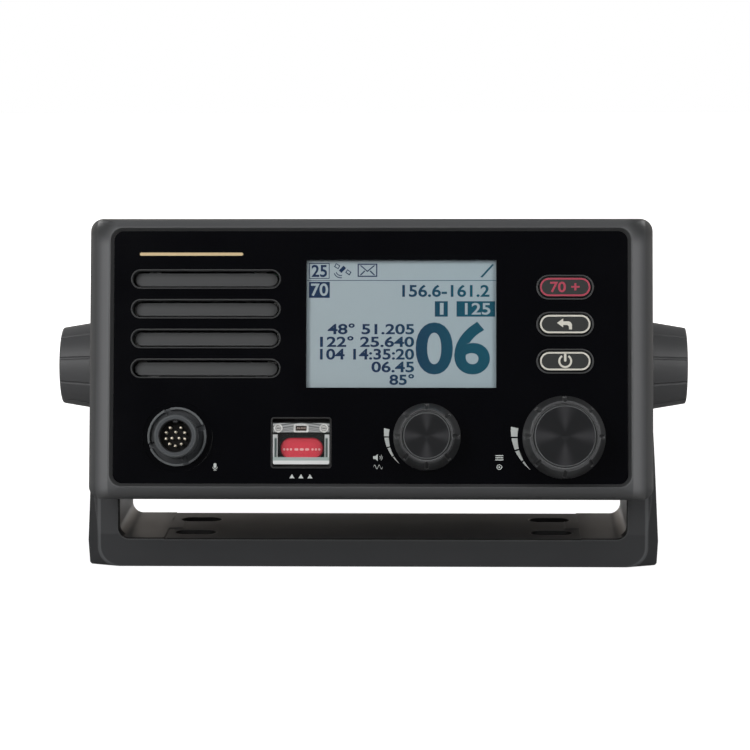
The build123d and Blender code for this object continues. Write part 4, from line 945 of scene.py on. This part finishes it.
def pan_screw(name, radius, height, shank_radius=0.0, shank_length=0.0):
    """A pan-head screw with a cross recess, standing on its head's seat with z out of it."""
    bpy.ops.object.select_all(action="DESELECT")
    bpy.ops.mesh.primitive_cylinder_add(
        vertices=48, radius=radius * MM, depth=height * MM, location=(0, 0, height * MM / 2)
    )
    head = bpy.context.object
    head.name = name
    bpy.ops.object.transform_apply(location=True)
    finish_edges(head, height * 0.35, 4)

    # the recess, a cross cut half way through the head
    reach, half = radius * 0.6, radius * 0.13
    cross = [(half, half), (reach, half), (reach, -half)]
    for quarter in range(3):
        cross += [(y, -x) for x, y in cross[-3:]]
    cutter = cut_out(f"{name}_cutter", [cross], height)
    cutter.data.transform(Matrix.Translation((0, 0, height * MM)))
    take_up(head)
    recess = head.modifiers.new("recess", "BOOLEAN")
    recess.operation = "DIFFERENCE"
    recess.solver = "EXACT"
    recess.object = cutter
    bpy.ops.object.modifier_apply(modifier="recess")
    bpy.data.objects.remove(cutter)
    bpy.ops.object.shade_smooth_by_angle(angle=math.radians(30.0))

    # the shank, which runs a hair into the head
    if shank_length > 0.0:
        bpy.ops.object.select_all(action="DESELECT")
        middle = (0.01 - shank_length / 2) * MM
        bpy.ops.mesh.primitive_cylinder_add(
            vertices=24, radius=shank_radius * MM, depth=shank_length * MM, location=(0, 0, middle)
        )
        bpy.ops.object.transform_apply(location=True)
        bpy.ops.object.shade_smooth_by_angle(angle=math.radians(40.0))
        head.select_set(True)
        bpy.context.view_layer.objects.active = head
        bpy.ops.object.join()
    return head


CORNERS = (("upper_left", -1, 1), ("upper_right", 1, 1), ("lower_left", -1, -1), ("lower_right", 1, -1))
CASE_SCREW_X, CASE_SCREW_Y, CORNER_SEAT = 87.0, 37.25, 24.0
for number, (corner, side, level) in enumerate(CORNERS):
    screw = pan_screw(f"case_screw_{corner}", 3.0, 2.4, shank_radius=1.6, shank_length=13.0)
    screw.data.transform(Matrix.Rotation(math.radians(17.0 * number), 4, "Z"))
    set_behind(screw, screw_steel, side * CASE_SCREW_X, level * CASE_SCREW_Y, CORNER_SEAT)
    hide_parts("case_screws")


# ---- rear connectors ---------------------------------------------------------------
# In a notch under the fins: a nickel-plated antenna socket, a positioning socket, a
# network socket, the power cable's gland, and an earth screw.

REAR_WALL = 112.0
CONNECTOR_Y = -25.0
ANTENNA_X, NETWORK_X, GLAND_X, EARTH_X = 62.0, 0.0, -36.0, -68.0
nickel = metal("nickel", (0.66, 0.63, 0.57), 0.22)
nickel.put_on(nodes["gps_socket"])


def thread(name, radius, depth, pitch, turns):
    """One ridge that winds up a barrel, with its crest at the given radius."""
    bpy.ops.object.select_all(action="DESELECT")
    bpy.ops.mesh.primitive_circle_add(vertices=3, radius=depth * MM)
    ridge = bpy.context.object
    ridge.name = name
    half_foot = 0.42 * pitch
    section = ((0.0, 0.0), (-depth, -half_foot), (-depth, half_foot))
    for point, (out, up) in zip(ridge.data.vertices, section):
        point.co = ((radius + out) * MM, 0.0, up * MM)
    wound = ridge.modifiers.new("wound", "SCREW")
    wound.screw_offset = pitch * MM
    wound.iterations = turns
    wound.steps = 36
    wound.render_steps = 36
    bpy.ops.object.modifier_apply(modifier="wound")
    bpy.ops.object.mode_set(mode="EDIT")
    bpy.ops.mesh.select_all(action="SELECT")
    bpy.ops.mesh.remove_doubles(threshold=0.000001)
    bpy.ops.mesh.fill_holes(sides=3)
    bpy.ops.mesh.normals_make_consistent(inside=False)
    bpy.ops.object.mode_set(mode="OBJECT")
    bpy.ops.object.shade_smooth_by_angle(angle=math.radians(30.0))
    return ridge


def toothed(crest, root, points):
    """A round outline with fine square teeth, in millimetres."""
    outline = []
    for i in range(points):
        radius = crest if i % 4 < 2 else root
        angle = 2.0 * math.pi * i / points
        outline.append((radius * math.cos(angle), radius * math.sin(angle)))
    return outline


# the antenna socket: a square flange and a threaded barrel, whose mouth has fine teeth
ANTENNA_FLANGE = 1.6
ANTENNA_THREAD = 3.3
sleeve = circle(4.6)
bore = circle(5.6, points=64)
shell = []
for name, outer, inner, foot, top in (
    ("antenna_shell", rounded(25.4, 25.4, 1.5), sleeve, 0.0, ANTENNA_FLANGE),
    ("antenna_foot", circle(8.4, points=64), sleeve, 1.55, 2.45),
    ("antenna_seat", circle(7.4), sleeve, 2.0, 7.6),
    ("antenna_barrel", circle(7.45, points=64), bore, 7.6, 14.6),
    ("antenna_mouth", toothed(7.5, 7.15, 96), bore, 14.4, 15.6),
):
    part = finish_edges(cut_out(name, [outer, inner], top - foot), 0.12, 2)
    part.data.transform(Matrix.Translation((0, 0, (foot + top) / 2 * MM)))
    shell.append(part)
ridge = thread("antenna_thread", radius=7.94, depth=0.5, pitch=1.06, turns=10)
ridge.data.transform(Matrix.Translation((0, 0, ANTENNA_THREAD * MM)))
for part in shell:
    part.select_set(True)
bpy.context.view_layer.objects.active = shell[0]
bpy.ops.object.join()
antenna_shell = bpy.context.object
set_behind(antenna_shell, nickel, ANTENNA_X, CONNECTOR_Y, REAR_WALL)
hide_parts("antenna_socket")
insulator_white = moulded("insulator_white", (0.8, 0.79, 0.75), 0.4)
insulator_white.put_on(nodes["antenna_insulator"])
contact_gold.put_on(nodes["antenna_contact"], nodes["network_pins"])

# a screw in each corner of its flange
FLANGE_SCREW = 9.1
for number, (corner, side, level) in enumerate(CORNERS):
    screw = pan_screw(f"antenna_screw_{number + 1}", radius=2.2, height=1.4)
    screw.data.transform(Matrix.Rotation(math.radians(25.0 * number), 4, "Z"))
    x = ANTENNA_X + side * FLANGE_SCREW
    y = CONNECTOR_Y + level * FLANGE_SCREW
    set_behind(screw, screw_steel, x, y, REAR_WALL + ANTENNA_FLANGE)
    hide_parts("antenna_screws")

# the network socket's thread, and the seal in the mouth of the power cable's gland
THREAD_START = REAR_WALL + 3.4
GLAND_MOUTH = REAR_WALL + 13.4
connector_black = moulded("connector_black", (0.016, 0.016, 0.017), 0.4, wear_and_edge_highlight=0.02)
connector_black.put_on(nodes["network_socket"], nodes["power_gland"])
network_thread = thread("network_thread", radius=6.3, depth=0.4, pitch=1.0, turns=8)
set_behind(network_thread, connector_black, NETWORK_X, CONNECTOR_Y, THREAD_START)
gland_seal = finish_edges(cut_out("gland_seal", [circle(4.05), circle(3.0)], 1.6), 0.4)
set_behind(gland_seal, gasket_rubber, GLAND_X, CONNECTOR_Y, GLAND_MOUTH)

# the earth screw on its toothed washer
WASHER = 1.0
earth_washer = finish_edges(cut_out("earth_washer", [toothed(4.5, 4.1, 80)], WASHER), 0.08, 2)
set_behind(earth_washer, bright_steel, EARTH_X, CONNECTOR_Y, REAR_WALL + WASHER / 2)
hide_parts("ground_screw")
earth_screw = pan_screw("earth_screw", radius=4.0, height=2.6)
set_behind(earth_screw, bright_steel, EARTH_X, CONNECTOR_Y, REAR_WALL + WASHER)
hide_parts("ground_screw")


# ---- gimbal bracket ----------------------------------------------------------------
# One moulding in glass-filled nylon: a base with four slots for screws, and two arms
# with round seats for the clamp knobs. Its texture is a little coarser than the head's.

bracket_plastic = moulded(
    "bracket_plastic", (0.0245, 0.0255, 0.0275), 0.5, 0.0004, grain=0.08, edge=0.001, wear_and_edge_highlight=0.07
)

# in millimetres: to the right, towards the back, and up from the foot
place = bracket_plastic.place()
along, deep, rise = [bracket_plastic.axis(place, name) * 1000.0 for name in "XYZ"]
from_middle = abs(along)
facing = bracket_plastic.node("ShaderNodeNewGeometry", output="Normal")

# a painted highlight, a pale line along the front of the round corner under each arm
CORNER_X, CORNER_RADIUS = 92.5, 7.3
past_corner = (from_middle - CORNER_X).maths("MAXIMUM", 0.0)
under_corner = (CORNER_RADIUS - rise).maths("MAXIMUM", 0.0)
from_bend = abs(radius_of(past_corner, under_corner) - CORNER_RADIUS)
painted_corner_highlight = from_bend.falls(0.35, 0.85) * from_middle.rises(90.0, 98.0) * deep.falls(-22.6, -21.8)
bracket_plastic.tint(painted_corner_highlight * 0.9, (0.085, 0.088, 0.092))

# painted warm light makes the arms' inner faces paler and warmer; painted shade makes their front edges and
# the base's black
facing_in = -bracket_plastic.axis(facing, "X") * along
inward = facing_in.rises(20.0, 60.0) * rise.rises(6.0, 12.0)
bracket_plastic.tint(inward, (0.085, 0.072, 0.064))
base_edge = bracket_plastic.axis(facing, "Z").rises(0.8, 0.9) * deep.falls(-24.0, -23.4)
front_edge = (inward * deep.falls(-19.5, -18.5)).maths("MAXIMUM", base_edge)
bracket_plastic.tint(front_edge, (0.003, 0.003, 0.003))
bracket_plastic.set({"Roughness": bracket_plastic.now("Roughness").maths("MAXIMUM", front_edge)})

# painted shade in the four slots of the base
SLOT_X, SLOT_Y, SLOT_STRAIGHT = 65.5, 12.5, 3.6
past_end = (abs(from_middle - SLOT_X) - SLOT_STRAIGHT).maths("MAXIMUM", 0.0)
from_slot = radius_of(past_end, abs(deep) - SLOT_Y)
bracket_plastic.tint(from_slot.falls(4.02, 4.1), (0.002, 0.002, 0.002))
bracket_plastic.put_on(nodes["mounting_bracket"])


# ---- clamp knobs -------------------------------------------------------------------
# A grooved knob at each side, moulded round a steel stud that screws into a brass insert
# in the chassis. A plain rubber washer lies between the chassis and each arm.

clamp_plastic = moulded("clamp_plastic", (0.078, 0.079, 0.082), 0.5, grain=0.06, edge=0.0003, wear_and_edge_highlight=0.01)
clamp_plastic.put_on(nodes["clamp_knob_left"], nodes["clamp_knob_right"])
bright_steel.put_on(nodes["clamp_stud_left"], nodes["clamp_stud_right"])
brass = metal("brass", (0.7, 0.5, 0.2), 0.3)
brass.put_on(nodes["pivot_inserts"])
washer_rubber = moulded("washer_rubber", (0.015, 0.015, 0.015), 0.75, grain=0.15)
washer_rubber.put_on(nodes["pivot_washers"])
